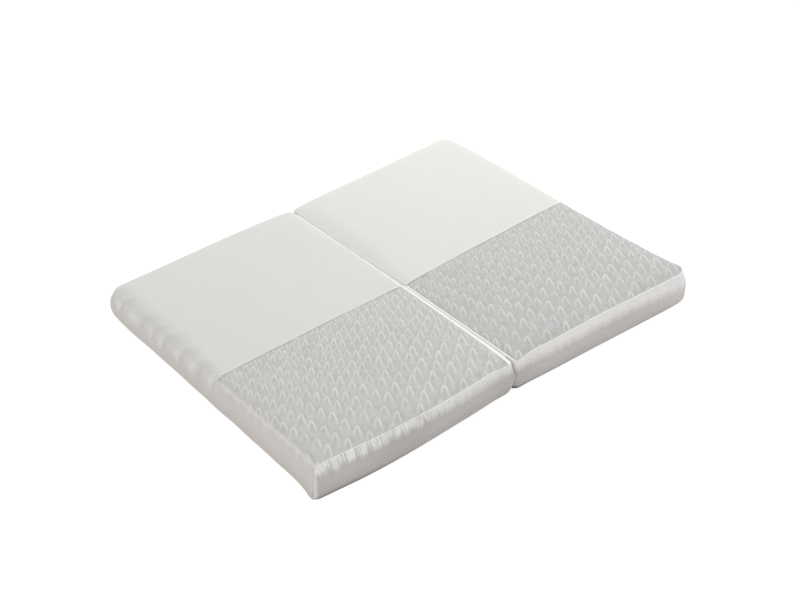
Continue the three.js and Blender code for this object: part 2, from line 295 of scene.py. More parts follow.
# %% [markdown]
# ## The shape of a pad
# Both pads have the same kind of shape: a slightly crowned top, edges that round down by different
# amounts, and walls that belly out and turn under at the floor. The cloth could be shrink-wrapped
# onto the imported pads, but those have flat facets, which would show. So the smooth shape is worked
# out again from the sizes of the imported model, which the tables repeat in millimetres. An edge's
# rows run from the fold outwards or from the front to the back, and give at what share of the way,
# how far the top edge lies inside the widest outline, how far it drops, how wide its roll is, and
# how far the wall turns under at the floor.

# %% Sizes of the pads
PAD_HEIGHT = 74.0
CROWN = 3.0
LAST_ROW = 18
SEAM_ROW = 9
CORNER_ROWS = 3
ROW_STEPS = (0, 5, 13, 25, 45, 80)
FOLD_LINE = 0.15
BELLY_LEVEL = 0.5
SHOULDER_POWER = 2.4
FOOT_FOR_FULL_RISE = 36.0
RING_POINTS = 900
AT, INSET, DROP, ROLL, FOOT = range(5)

LEFT = {
    "name": "left",
    "side": -1,
    "corners": {
        "fold_front": (-352, 11),
        "outer_front": (-355, 12),
        "outer_back": (374, 38),
        "fold_back": (362, 16),
    },
    "outer_away": (491, 469, -2),
    "bows": (12, 0),
    "seam": (-21, -29),
    "tape": ((0, 8), (0.5, 5), (1, 4)),
    "front": (
        (0, 5, 6, 24, 5),
        (0.12, 12, 4, 24, 8),
        (0.3, 12, 4, 24, 8),
        (0.9, 13, 3, 22, 0),
        (1, 11, 3, 16, 0),
    ),
    "fold": ((0, 5, 6, 24, 5), (0.5, 3, 3, 20, 6), (1, 2.5, 8, 30, 7)),
    "back": ((0, 2.5, 8, 30, 7), (0.2, 7, 4, 24, 8), (1, 10, 12, 36, 22)),
    "outer": ((0, 11, 3, 16, 0), (0.48, 10, 4, 16, 7), (0.62, 9, 11, 38, 12), (1, 10, 12, 40, 22)),
}
RIGHT = {
    "name": "right",
    "side": 1,
    "corners": {
        "fold_front": (-351, 12),
        "outer_front": (-361, 42),
        "outer_back": (384, 16),
        "fold_back": (364, 16),
    },
    "outer_away": (497, 458, -4),
    "bows": (2, -2),
    "seam": (-23, -2),
    "tape": ((0, 3.2), (1, 3.2)),
    "front": (
        (0, 2, 5, 26, 2),
        (0.12, 11, 5, 26, 4),
        (0.5, 12, 1, 24, 6),
        (0.9, 12, 4, 24, 5),
        (1, 11, 6, 24, 6),
    ),
    "fold": ((0, 2, 5, 26, 2), (0.5, 2, 3.5, 22, 6), (0.64, 2, 10, 52, 7), (1, 2.5, 9, 48, 7)),
    "back": ((0, 2.5, 9, 48, 7), (0.2, 7, 4, 26, 7), (1, 7, 7, 30, 7)),
    "outer": (
        (0, 11, 6, 24, 6),
        (0.1, 6, 3, 22, 5),
        (0.4, 9, 4, 24, 6),
        (0.7, 4, 3, 24, 7),
        (1, 7, 7, 30, 7),
    ),
}
EDGES = ("front", "fold", "back", "outer")
print("rows in the edge tables:", sum(len(pad[edge]) for pad in (LEFT, RIGHT) for edge in EDGES))

# %% [markdown]
# ## Reading the tables
# Between two rows of a table a size changes smoothly. The top is cut into rows from front to back,
# closer together near its ends, and SEAM_ROW is the row of the seam across the middle.


# %% Reading the tables
def along(rows, at, column):
    """The value of one column between the rows of a table, with soft turns at the rows."""
    rows = np.array(rows, float)
    at = np.clip(at, 0, 1)
    step = np.clip(np.searchsorted(rows[:, AT], at, side="right") - 1, 0, len(rows) - 2)
    share = (at - rows[step, AT]) / (rows[step + 1, AT] - rows[step, AT])
    share = share * share * (3 - 2 * share)
    return rows[step, column] * (1 - share) + rows[step + 1, column] * share


def blended(first, second, share):
    return first + (second - first) * share


def row_distance(row, half):
    """How far a row lies from its end of the pad. Half is the distance to the middle seam."""
    last_step = len(ROW_STEPS) - 1
    near = np.interp(row, range(len(ROW_STEPS)), ROW_STEPS)
    far = blended(ROW_STEPS[-1], half, (row - last_step) / (SEAM_ROW - last_step))
    return np.where(row < last_step, near, far)


def side_edges(pad, row):
    """Where the top starts at the fold and ends at the outer side, as distances from the fold."""
    share = row / LAST_ROW
    start = FOLD_LINE + along(pad["fold"], share, INSET)
    front_away, back_away, bow = pad["outer_away"]
    end = blended(front_away, back_away, share) + bow * np.sin(np.pi * share)
    return start, end - along(pad["outer"], share, INSET)


for pad in (LEFT, RIGHT):
    start, end = side_edges(pad, SEAM_ROW)
    print(pad["name"], "pad's top is", round(float(end - start)), "mm wide at its seam")

# %% [markdown]
# ## Points of the top
# A place on the top is a row and a distance from the fold. The four corners are rounded by sliding
# the points near them onto a quarter disc, so that the grid keeps its rows and columns.


# %% Points of the top
def round_corner(from_side, from_end, radius):
    """Slides a point that is closer than the radius to both edges onto the quarter disc."""
    inside = (from_side < radius) & (from_end < radius)
    across = np.clip((radius - from_side) / radius, 0, 1)
    lengthways = np.clip((radius - from_end) / radius, 0, 1)
    new_side = radius - radius * across * np.sqrt(1 - lengthways**2 / 2)
    new_end = radius - radius * lengthways * np.sqrt(1 - across**2 / 2)
    return np.where(inside, new_side, from_side), np.where(inside, new_end, from_end)


def top_points(pad, row, from_fold):
    """Points of a pad's top, and how far each lies from the edges and the middle seam."""
    row, from_fold = np.broadcast_arrays(np.asarray(row, float), np.asarray(from_fold, float))
    v = row / LAST_ROW
    start, end = side_edges(pad, row)
    width = end - start
    from_outer = width - from_fold
    u = from_fold / width

    corners = pad["corners"]
    front_bow, back_bow = pad["bows"]
    bow = np.sin(np.pi * u)
    front = blended(corners["fold_front"][0], corners["outer_front"][0], u)
    front = front - front_bow * bow + along(pad["front"], u, INSET)
    rear = blended(corners["fold_back"][0], corners["outer_back"][0], u)
    rear = rear + back_bow * bow - along(pad["back"], u, INSET)
    seam = blended(pad["seam"][0], pad["seam"][1], u)
    depth = rear - front
    half_front = row_distance(row, seam - front)
    half_back = depth - row_distance(LAST_ROW - row, rear - seam)
    from_front = np.where(row <= SEAM_ROW, half_front, half_back)
    from_back = depth - from_front

    def fall(edge, at, distance):
        roll = along(pad[edge], at, ROLL)
        return along(pad[edge], at, DROP) * np.clip(1 - distance / roll, 0, 1) ** 2

    end_fall = np.maximum(fall("front", u, from_front), fall("back", u, from_back))
    side_fall = np.maximum(fall("fold", v, from_fold), fall("outer", v, from_outer))
    crown = CROWN * (1 - (2 * u - 1) ** 4) * (1 - (2 * v - 1) ** 4)
    height = PAD_HEIGHT + crown - np.maximum(end_fall, side_fall) - np.minimum(end_fall, side_fall) / 4

    near_fold = from_fold < from_outer
    near_front = from_front < from_back
    radius = np.zeros_like(row)
    for name, at_fold, at_front in (
        ("fold_front", True, True),
        ("outer_front", False, True),
        ("outer_back", False, False),
        ("fold_back", True, False),
    ):
        edge = pad["front" if at_front else "back"][0 if at_fold else -1]
        here = (near_fold == at_fold) & (near_front == at_front)
        radius = np.where(here, corners[name][1] - edge[INSET], radius)
    side, tip = round_corner(
        np.where(near_fold, from_fold, from_outer), np.where(near_front, from_front, from_back), radius
    )
    away = start + np.where(near_fold, side, width - side)
    y = np.where(near_front, front + tip, rear - tip)
    distances = {
        "fold": from_fold,
        "outer": from_outer,
        "front": from_front,
        "back": from_back,
        "seam": np.abs(from_front - (seam - front)),
    }
    return np.stack([away, y, height], -1), distances


middle_points = [top_points(pad, SEAM_ROW, 230.0)[0] for pad in (LEFT, RIGHT)]
print("heights half way along the seams, mm:", [round(float(point[2]), 1) for point in middle_points])

# %% [markdown]
# ## Points of the walls
# The walls hang from the edge of the top, so that edge is first walked all the way round. Each
# point of a wall then stands out from it by the wall's own belly, and turns under at the floor.


# %% Points of the walls
def edge_ring(pad):
    """The edge of the top all the way round from the fold, near the front, and its walls' sizes."""
    ones = np.ones(RING_POINTS)
    share = np.linspace(0, 1, RING_POINTS)
    back_row = LAST_ROW - CORNER_ROWS
    stretches = (
        ("fold", np.linspace(CORNER_ROWS, 0, RING_POINTS), 0 * ones),
        ("front", 0 * ones, share),
        ("outer", np.linspace(0, LAST_ROW, RING_POINTS), ones),
        ("back", LAST_ROW * ones, 1 - share),
        ("fold", np.linspace(LAST_ROW, CORNER_ROWS, RING_POINTS), 0 * ones),
    )
    lines, marks, total = [], {}, 0.0
    for number, (edge, rows, shares) in enumerate(stretches):
        start, end = side_edges(pad, rows)
        points, _ = top_points(pad, rows, shares * (end - start))
        x = points[:, 0]
        at = (x - x.min()) / (x.max() - x.min()) if edge in ("front", "back") else rows / LAST_ROW
        steps = np.linalg.norm(np.diff(points, axis=0), axis=1)
        distance = total + np.concatenate([[0], np.cumsum(steps)])
        total = distance[-1]
        marks[f"{edge}_{number}"] = (distance[0], total)
        if edge == "outer":
            marks["outer_start"] = np.interp(CORNER_ROWS, rows, distance)
        if number == len(stretches) - 1:
            marks["fold_back"] = np.interp(-back_row, -rows, distance)
        sizes = np.stack([along(pad[edge], at, INSET), along(pad[edge], at, FOOT)], -1)
        keep = slice(0, -1)
        lines.append(np.hstack([points[keep], sizes[keep], distance[keep, None]]))
    return np.vstack(lines), marks, total


def wall_out(level, inset, foot, lift):
    """How far out of the top edge the wall stands: it bellies out and turns under at the floor."""
    shoulder = np.clip((level - BELLY_LEVEL) / (1 - BELLY_LEVEL), 0, 1) ** SHOULDER_POWER
    tuck = np.clip((lift - level) / lift, 0, 1) ** 2
    return inset * (1 - shoulder) - foot * tuck


def wall_points(pad, distance, level):
    """Points of the wall below the edge ring. Level is a share of the height of the top edge."""
    lines, _, total = pad["ring"]
    place = lines[:, -1]

    def at(where, column):
        return np.interp(where, place, lines[:, column], period=total)

    reach = 4.0
    way_x = at(distance + reach, 0) - at(distance - reach, 0)
    way_y = at(distance + reach, 1) - at(distance - reach, 1)
    long = np.hypot(way_x, way_y)
    inset, foot = at(distance, 3), at(distance, 4)
    level = level[:, None]
    out = wall_out(level, inset, foot, np.maximum(foot / FOOT_FOR_FULL_RISE, 1e-6))
    x = at(distance, 0) + way_y / long * out
    y = at(distance, 1) - way_x / long * out
    return np.stack([x, y, at(distance, 2) * level], -1)


for pad in (LEFT, RIGHT):
    pad["ring"] = edge_ring(pad)
    print(pad["name"], "pad is", round(pad["ring"][2]), "mm round")

# %% [markdown]
# ## How a sheet of cloth is made
# Every visible piece is a sheet that lies on its pad. Its face is a fine grid of points on the
# pad's shape, moved along the grid's own normals for seams, gathers and patterns. A coarser inner
# face and a rim close it, so that it has a real thickness. The grid is finer beside a seam, where
# the cloth swells and dives into the stitching. A subdivided plane could be draped by simulation,
# but it would slide off its seams, and here every seam has to stay in its place. The left pad is
# made like the right one and then mirrored, with its columns turned round so that the faces still
# point outwards. RIM is how far a sheet stops short of a seam on the top, and JOINT how far it stops
# short of a seam with a wall, both in millimetres.

# %% Sheet helpers
COARSE = 4
RIM = 0.12
JOINT = 0.03
LOWEST = 0.3
SMOOTH_BELOW = math.radians(50)
LIP_STEPS = np.array((0, 0.5, 1.1, 1.8, 2.6, 3.5, 4.6))


def spread(length, step, fine_start=True, fine_end=True):
    """Distances of grid lines across a length, closer together beside a seam."""
    low = LIP_STEPS if fine_start else LIP_STEPS[:1]
    high = length - LIP_STEPS[::-1] if fine_end else np.array([length])
    cells = math.ceil((high[0] - low[-1]) / step)
    cells += -(len(low) + len(high) - 2 + cells) % COARSE
    middle = np.linspace(low[-1], high[0], cells + 1)
    return np.concatenate([low[:-1], middle, high[1:]])


def outward(points):
    """The unit normals of a grid of points whose columns run to the right and rows upwards."""
    across = np.gradient(points, axis=1)
    upwards = np.gradient(points, axis=0)
    normal = np.cross(across, upwards)
    return normal / np.linalg.norm(normal, axis=-1, keepdims=True)


def lip(distance, height=0.5, dive=0.8):
    """Cloth beside a seam: it swells, then dives into the stitching."""
    return height * np.exp(-(((distance - 2.2) / 1.3) ** 2)) - dive * np.exp(-((distance / 0.9) ** 2))


def pale_line(distance):
    """Where cloth beside a seam gets a paler painted highlight, from 0 to 1."""
    return np.exp(-(((distance - 1.6) / 1.1) ** 2))


def waves(x, y, size, seed):
    """Soft uneven waves between about -1 and 1, from a few sines with seeded turns."""
    draw = np.random.default_rng(seed)
    total = 0.0
    for _ in range(6):
        turn_by, shift = draw.uniform(0, 2 * np.pi, 2)
        length = size * draw.uniform(0.7, 1.6)
        total = total + np.sin((x * np.cos(turn_by) + y * np.sin(turn_by)) * 2 * np.pi / length + shift)
    return total / 3


print("grid lines across 20 mm of cloth:", spread(20.0, 3.0).round(1).tolist())

# %% [markdown]
# ## Closing a sheet
# The Solidify modifier could thicken a grid, but it would repeat every fine face on the inside. Here
# the inside is coarser: one inner corner for every fourth grid line, which saves almost half of
# the faces, and a rim of many-sided faces joins the two.


# %% Closing a sheet
def only(piece):
    """Selects one piece and nothing else."""
    bpy.ops.object.select_all(action="DESELECT")
    piece.select_set(True)
    bpy.context.view_layer.objects.active = piece


def add_piece(name, points, faces, material, uv=None, seam=None):
    """A new mesh object from points in millimetres of the pad's own layout."""
    mesh = bpy.data.meshes.new(name)
    mesh.from_pydata(((points - ORIGIN) * MM).tolist(), [], faces)
    if uv is not None:
        corners = np.zeros(len(mesh.loops), np.int32)
        mesh.loops.foreach_get("vertex_index", corners)
        layer = mesh.uv_layers.new(name="cloth")
        layer.data.foreach_set("uv", (uv[corners] * MM).astype(np.float32).ravel())
    if seam is not None:
        mark = mesh.attributes.new("seam", "FLOAT", "POINT")
        mark.data.foreach_set("value", seam.astype(np.float32))
    mesh.update()
    piece = bpy.data.objects.new(name, mesh)
    bpy.context.collection.objects.link(piece)
    mesh.materials.append(material)
    only(piece)
    bpy.ops.object.shade_smooth_by_angle(angle=SMOOTH_BELOW)
    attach(piece, "root")
    triangles = sum(len(face.vertices) - 2 for face in mesh.polygons)
    print(f"{name}: {triangles} triangles")
    return piece


def add_sheet(side, name, base, relief, thickness, material, slot, uv, seam):
    """A closed sheet from a grid of base points, and the height of its face above them."""
    normals = outward(base)
    face = base + normals * relief[..., None]
    face[..., 2] = np.maximum(face[..., 2], LOWEST)
    coarse = (slice(None, None, COARSE), slice(None, None, COARSE))
    inner = base[coarse] - normals[coarse] * thickness
    inner[..., 2] = np.maximum(inner[..., 2], LOWEST)
    layers = [(face, uv, seam), (inner, uv[coarse], seam[coarse])]
    if side < 0:
        layers = [tuple(part[:, ::-1] for part in layer) for layer in layers]
        for layer in layers:
            layer[0][..., 0] *= -1
    face, inner = layers[0][0], layers[1][0]
    points = np.vstack([layer[0].reshape(-1, 3) for layer in layers])
    places = np.vstack([layer[1].reshape(-1, 2) for layer in layers])
    marks = np.concatenate([layer[2].ravel() for layer in layers])

    def numbers(grid, first):
        return np.arange(grid.shape[0] * grid.shape[1]).reshape(grid.shape[:2]) + first

    def corner_sets(index):
        sets = [index[:-1, :-1], index[:-1, 1:], index[1:, 1:], index[1:, :-1]]
        return np.stack([part.ravel() for part in sets], 1)

    def rim_of(index):
        return np.concatenate([index[0, :-1], index[:-1, -1], index[-1, :0:-1], index[:0:-1, 0]])

    outer_index = numbers(face, 0)
    inner_index = numbers(inner, outer_index.size)
    faces = corner_sets(outer_index).tolist() + corner_sets(inner_index)[:, ::-1].tolist()
    outer_rim, inner_rim = rim_of(outer_index), rim_of(inner_index)
    for number, corner in enumerate(inner_rim):
        part = outer_rim[np.arange(number * COARSE, (number + 1) * COARSE + 1) % len(outer_rim)]
        after = inner_rim[(number + 1) % len(inner_rim)]
        faces.append([*part[::-1].tolist(), int(corner), int(after)])
    return add_piece(name, points, faces, material, places, marks)


print("an inner corner for every", COARSE, "grid lines of the face")

# %% [markdown]
# ## Plain knit
# The back half of the top and the side walls are a soft off-white jersey. At this distance it shows
# only as a very fine grain with a faint diamond check. Stitches in the mesh would need millions of
# faces for something smaller than a pixel, so they are a shallow bump. Seams get a paler painted
# highlight, on the lip that swells beside the stitching, and the walls are painted warmer and darker
# towards the floor, a painted shade. The "seam" attribute of a sheet says where: above 0 paler,
# mostly a painted highlight along seams, below 0 darker, a painted shade in grooves, hollows and dips.

# %% Plain knit finish
STITCH = 0.0016
DIAMOND = 0.009
WALL_SHADE_TOP = 0.055


def knit_height(finish, x, y, pitch):
    """The height of a fine jersey knit: columns of slanted stitches, with uneven yarn."""
    turn_in = 2 * math.pi / pitch
    column = sine(x * turn_in)
    slant = sine(y * turn_in * 1.3 + size_of(column) * 1.6)
    yarn = finish.noise(900.0, 2.0)
    return column * 0.3 + slant * 0.25 + yarn * 0.5


def plain_knit(name, color, deep, uses_wall):
    finish = Finish(name)
    x, y, z = finish.place()
    if uses_wall:
        x, y = finish.along_cloth()
    cloud = finish.noise(5.0, 3.0)
    grain = finish.noise(260.0, 2.0)
    seam_tone = paint(226, 226, 223) if uses_wall else paint(244, 243, 239)
    turn_in = math.pi / DIAMOND
    diamond = size_of(sine((x + y) * turn_in)) * size_of(sine((x - y) * turn_in))
    shade = (cloud - 0.5) * 0.5 + (grain - 0.5) * 0.35 + (diamond - 0.4) * 0.07 + 0.35
    # Painted shade: the walls are painted darker and warmer from WALL_SHADE_TOP down to the floor.
    low = 1.0 - ramp(z, 0.0, WALL_SHADE_TOP) if uses_wall else 0.0
    tone = finish.mixed(least(most(shade * 0.45 + low * 0.75, 0.0), 1.0), color, deep)
    # The seam mark: above 0 paler, mostly a painted highlight along seams; below 0 a painted shade in
    # hollows and dips.
    seam = finish.mark("seam")
    tone = finish.mixed(most(seam, 0.0) * (0.85 if uses_wall else 0.6), tone, seam_tone)
    tone = finish.mixed(most(seam * -1.0, 0.0) * 0.42, tone, paint(158, 155, 151))
    height = knit_height(finish, x, y, STITCH) + diamond * 0.3
    return finish.finish(tone, 0.84 + grain * 0.1, height, 0.00022)


# The two plain tops are one jersey: the right one is painted a little lighter, a painted light, as the
# lamp stands to the right.
plain_left = plain_knit("plain_knit_left", paint(213, 213, 211), paint(195, 195, 192), False)
plain_right = plain_knit("plain_knit_right", paint(217, 217, 212), paint(200, 200, 195), False)
wall_finish = plain_knit("wall_knit", paint(205, 201, 197), paint(181, 174, 168), True)
print("plain knit finishes:", plain_left.name, plain_right.name, wall_finish.name)

# %% [markdown]
# ## Figured knit
# The front half is a grey knit with small pointed arches, a common scale pattern. The arches stand
# in slanting rows that shrink a little towards the middle seam. Each has a pale outline that is
# brightest at its tip and fades down its legs, a steep short one on the left and a longer slanting
# one on the right. The cloth inside the arch and close outside it lies low and is painted darker,
# a painted shade in these hollows. A picture could be laid over the cloth, but it would blur from
# near by and raise nothing. So one formula gives the pattern, and it is used twice: as sums of
# nodes for the colour, and as numbers for a low relief in the mesh.

# %% [markdown]
# The tips stand on a slanting grid that opens up towards the front. A drawn repeat could be laid
# out by hand, but a grid needs only a few sizes. The table gives it as it would be at the middle of
# the fold: how many millimetres apart its rows and its columns are, how many degrees the way in
# which they are counted is turned from the X axis, and the number of the row or the column there.
# The opening is by what share the grid gets wider for each 100 mm to the right and to the back. It
# is below zero, because the grid closes up towards the back. ARCH_SHIFT moves its cells, so that a
# place only has to look at three arches.

# %% Grid of the arches
ARCH_GRID = {
    "left": {
        "row": {"apart": 9.95, "turned": 82.43, "number": 17.934},
        "column": {"apart": 15.991, "turned": 47.53, "number": 12.113},
        "opening": (-0.0047, -0.1926),
    },
    "right": {
        "row": {"apart": 14.725, "turned": 79.49, "number": -4.633},
        "column": {"apart": 31.223, "turned": 10.34, "number": -7.292},
        "opening": (-0.02, -0.1261),
    },
}
ARCH_UNIT = 100.0
ARCH_SHIFT = (0.8, 0.9)
ARCH_NEIGHBOURS = ((0, 0), (1, 0), (1, 1))


def arch_grid(pad_name):
    """The nine numbers that turn a place into a row and a column of the grid."""
    grid = ARCH_GRID[pad_name]
    opening = np.array((*grid["opening"], 1.0))
    sums = []
    for line in (grid["row"], grid["column"]):
        way = math.radians(line["turned"])
        step = np.array((math.cos(way), math.sin(way), 0.0)) * ARCH_UNIT / line["apart"]
        sums.append(step + line["number"] * opening)
    return np.array([*sums, opening])


def slanted(sums, first, second):
    """Turns a pair of numbers into another pair by the nine numbers of a slanting grid."""
    top, middle, low = [first * a + second * b + c for a, b, c in sums.tolist()]
    return top / low, middle / low


for name, grid in ARCH_GRID.items():
    farthest = slanted(arch_grid(name), 0.0, -300.0 / ARCH_UNIT)[0]
    print(name, "rows in the 300 mm in front of the fold:", round(grid["row"]["number"] - farthest, 1))

# %% [markdown]
# An arch points 40 degrees to the right of straight back. Its outline is two legs that spread as
# they go down from the tip, by a power of the way down. The sizes are those of an arch 300 mm in
# front of the middle of the fold, and it gets smaller towards the back. Every arch differs a little
# in where its tip stands, how wide it is and how strongly it shows.

# %% Arch pattern
ARCH_TURN = math.radians(-40.0)
ARCH_WAY = (math.cos(ARCH_TURN), math.sin(ARCH_TURN))
SIZE_AT_FOLD = 0.625
SIZE_GROWTH = 0.125
LEFT_LEG = {"spread": 1.64, "power": 0.4, "length": 38.0, "strength": 0.66}
RIGHT_LEG = {"spread": 0.61, "power": 0.81, "length": 47.0, "strength": 0.92}
OUTLINE = 2.4
MOST_ASIDE = 2.6
MOST_HIGHER = 3.8


def chance(row, column, seed):
    """A number between -1 and 1 that looks random and stays the same for one arch."""
    value = sine(row * 12.9898 + column * 78.233 + seed) * 437.6
    return (value - whole(value)) * 2.0 - 1.0


def arches(pad_name, x, y):
    """Paleness of the outlines and painted shade in the hollows of the arches, from a place in metres.
    """
    across = x * (1 / (ARCH_UNIT * MM)) + float(ORIGIN[0]) / ARCH_UNIT
    deep = y * (1 / (ARCH_UNIT * MM)) + float(ORIGIN[1]) / ARCH_UNIT
    to_grid = arch_grid(pad_name)
    from_grid = np.linalg.inv(to_grid)
    first, second = slanted(to_grid, across, deep)
    row = whole(first + ARCH_SHIFT[0])
    column = whole(second + ARCH_SHIFT[1])
    pale, hollow_shade = 0.0, 0.0
    for add_row, add_column in ARCH_NEIGHBOURS:
        this_row, this_column = row + add_row, column + add_column
        higher = chance(this_row, this_column, 0.0)
        aside = chance(this_row, this_column, 1.3)
        wider = chance(this_row, this_column, 2.9)
        stronger = chance(this_row, this_column, 4.1)
        tip_x, tip_y = slanted(from_grid, this_row, this_column)
        to_mm = ARCH_UNIT / (SIZE_AT_FOLD - tip_y * SIZE_GROWTH)
        over, ahead = (across - tip_x) * to_mm, (deep - tip_y) * to_mm
        sideways = over * ARCH_WAY[0] + ahead * ARCH_WAY[1] + aside * MOST_ASIDE
        below = over * ARCH_WAY[1] - ahead * ARCH_WAY[0] + higher * MOST_HIGHER
        to_right = ramp(sideways, -1.5, 1.5)

        def leg(size):
            return blended(LEFT_LEG[size], RIGHT_LEG[size], to_right)

        down = most(below, 0.01)
        left_half = down ** LEFT_LEG["power"] * LEFT_LEG["spread"]
        right_half = down ** RIGHT_LEG["power"] * RIGHT_LEG["spread"]
        beyond = size_of(sideways) - blended(left_half, right_half, to_right) * (1.0 + wider * 0.16)
        fade = ramp(below, -2.2, 1.5) * (1.0 - ramp(below, 0.0, leg("length")))
        pale = most(pale, hump(beyond, OUTLINE) * fade * (leg("strength") + stronger * 0.22))
        near_tip = ramp(below, -9.0, 0.0) * (1.0 - ramp(below, 10.0, 34.0))
        inside = ramp(beyond * -1.0, 1.0, 5.0) * 0.9
        # Painted shade in the low cloth inside the arch and just outside its outline.
        hollow_shade = most(hollow_shade, most(hump(beyond - 5.2, 3.4) * 0.6, inside) * near_tip)
    return least(pale, 1.0), hollow_shade


FIGURED_TONES = {
    "left": (paint(195, 194, 192), paint(182, 181, 179)),
    "right": (paint(189, 188, 187), paint(176, 175, 174)),
}


def figured_knit(pad_name):
    finish = Finish("figured_knit_" + pad_name)
    x, y = finish.place()[:2]
    pale, hollow_shade = arches(pad_name, x, y)
    cloud = finish.noise(7.0, 3.0)
    grain = finish.noise(330.0, 3.0)
    light, deep = FIGURED_TONES[pad_name]
    mottle = finish.noise(75.0, 2.0)
    ground = cloud * 0.5 + grain * 0.35 + (mottle - 0.5) * 2.4
    tone = finish.mixed(least(most(ground, 0.0), 1.0), light, deep)
    # Painted shade in the hollows of the arches.
    tone = finish.mixed(hollow_shade * (1.0 - pale) * 0.6, tone, paint(168, 167, 165))
    tone = finish.mixed(pale * 0.54 + grain * pale * 0.25, tone, paint(226, 226, 223))
    # The seam mark: above 0 a paler painted highlight along the front and outer seams, below 0 a painted
    # shade in the groove beside the middle seam.
    seam = finish.mark("seam")
    tone = finish.mixed(most(seam, 0.0) * 0.4, tone, paint(228, 227, 224))
    tone = finish.mixed(most(seam * -1.0, 0.0) * 0.45, tone, paint(150, 149, 146))
    height = knit_height(finish, x, y, STITCH) * 0.6 + pale * 0.8 - hollow_shade * 0.3
    return finish.finish(tone, 0.8 + grain * 0.12, height, 0.00028)


figured = {pad_name: figured_knit(pad_name) for pad_name in ("left", "right")}
print("figured knit:", [len(material.node_tree.nodes) for material in figured.values()], "nodes")

# %% [markdown]
# ## Spacer mesh
# The front is closed by a springy spacer mesh. Its face is a waffle of raised ribs along the band,
# about 5 mm apart, crossed by finer columns about 3.7 mm apart. They are large enough to show as
# steps of light, so they are real relief in the mesh, and the finish adds painted shade in the
# hollows and the small holes between the yarns. Under the top seam the rounded top of the band is
# painted pale, a painted light where it faces up, and below that it is painted darker, a painted
# shade that deepens towards the floor, with a painted shadow along the foot. On the left band the
# lower limit of that pale strip is ragged, where the mesh bunches.

# %% Spacer mesh finish
RIB = 5.0
WALE = 3.7
PUCKER = 32.0
HOLE_PITCH = (0.00185, 0.00167)


def waffle(along_mm, up_mm):
    """Height of the ribs and of the columns, each from 0 to 1, at a place on the band."""
    rib = sine(up_mm * (2 * math.pi / RIB)) * 0.5 + 0.5
    wale = sine(along_mm * (2 * math.pi / WALE)) * 0.5 + 0.5
    return rib, wale


def bunching(along_mm):
    """How tightly the stretched strip is bunched along a band, from 0 to 1."""
    drift = sine(along_mm * (2 * math.pi / 147.0)) * 1.4
    drift = drift + sine(along_mm * (2 * math.pi / 83.0) + 1.0) * 0.9
    return sine(along_mm * (2 * math.pi / PUCKER) + drift) * 0.5 + 0.5


def mesh_finish(name, ragged_share, reach, low_painted_shade, light, foot):
    """Painted light as far down as the reach and painted shade below, with a ragged edge to that pale
    strip in part of it.
    """
    finish = Finish(name)
    u, v = finish.along_cloth()
    along_mm, down_mm = u * (1 / MM), v * (-1 / MM)
    rib, wale = waffle(along_mm, down_mm)
    bunch = bunching(along_mm)
    ragged = ramp(along_mm, 130.0, 270.0) * ragged_share
    fingers = finish.noise(2.2, 3.0, finish.joined(along_mm * 0.12, down_mm * 0.004))
    patch = ramp(finish.noise(1.0, 2.0, finish.joined(along_mm * 0.07, down_mm * 0.05)), 0.4, 0.62)
    streak = ramp(finish.noise(1.0, 1.0, finish.joined(along_mm * 0.3, down_mm * 0.02)), 0.46, 0.62)
    # Painted light and shade: pale down to the edge, where the rounded top faces up, darker below and
    # deeper towards the floor; the far end of the right band is painted lighter.
    start, more, grow_from, grow_to = reach
    edge = start + ramp(along_mm, grow_from, grow_to) * more
    edge = edge + (bunch - 0.5) * (1.5 + ragged * 4.0) + (fingers - 0.5) * (2.0 + ragged * 20.0)
    soft = 11.0 - ragged * 3.5
    below = ramp(down_mm, edge - soft, edge + soft)
    strip = (1.0 - below) * ragged
    far_end = ramp(along_mm, grow_from, grow_to) * (1.0 - ragged_share)
    shade = below * (0.72 + ragged * 0.04 - far_end * 0.2)
    shade = shade + ramp(down_mm, 38.0, 72.0) ** 1.3 * (low_painted_shade - ragged * 0.2)
    # Painted shade in the hollows between the ribs and between the columns.
    lines = (0.5 - rib) * (0.4 - ragged * 0.24 + below * 0.04) + (0.5 - wale) * (0.12 + strip * 0.04)
    ticks = (streak - 0.2) * strip * 0.5 + (patch - 0.4) * strip * 0.38
    cloud = finish.noise(9.0, 3.0)
    grain = finish.noise(420.0, 2.0)
    shade = shade + lines + ticks + (cloud - 0.5) * 0.3 + (grain - 0.5) * 0.2 + 0.04
    # light is the painted light at the top of the band, foot its painted shade low down.
    tone = finish.mixed(least(most(shade, 0.0), 1.0), light, foot)
    # Painted shadow along the foot, where the band turns under at the floor.
    tone = finish.mixed(ramp(down_mm, 60.0, 71.0) ** 1.5 * 0.65, tone, paint(88, 82, 78))
    # The seam mark: above 0 a paler painted highlight along the seams, below 0 a painted shadow at the
    # fold corner of the right band.
    tone = finish.mixed(most(finish.mark("seam"), 0.0) * 0.5, tone, paint(244, 243, 241))
    tone = finish.mixed(most(finish.mark("seam") * -1.0, 0.0) * 0.8, tone, paint(70, 64, 60))
    holes = sine(u * (2 * math.pi / HOLE_PITCH[0])) * sine(v * (2 * math.pi / HOLE_PITCH[1]))
    height = holes * 0.35 + grain * 0.6 + wale * (0.2 + strip * 0.5)
    return finish.finish(tone, 0.82 + grain * 0.12, height, 0.0003)


# Each band's light colour is its painted light at the top, and its foot colour its painted shade near
# the floor.
mesh_left = mesh_finish(
    "mesh_band_left", 1.0, (16.0, 2.0, 260.0, 500.0), 0.36, paint(226, 226, 226), paint(160, 155, 151)
)
mesh_right = mesh_finish(
    "mesh_band_right", 0.15, (21.0, 6.0, 320.0, 460.0), 0.24, paint(233, 232, 231), paint(165, 160, 157)
)
print("spacer mesh finishes:", mesh_left.name, mesh_right.name)

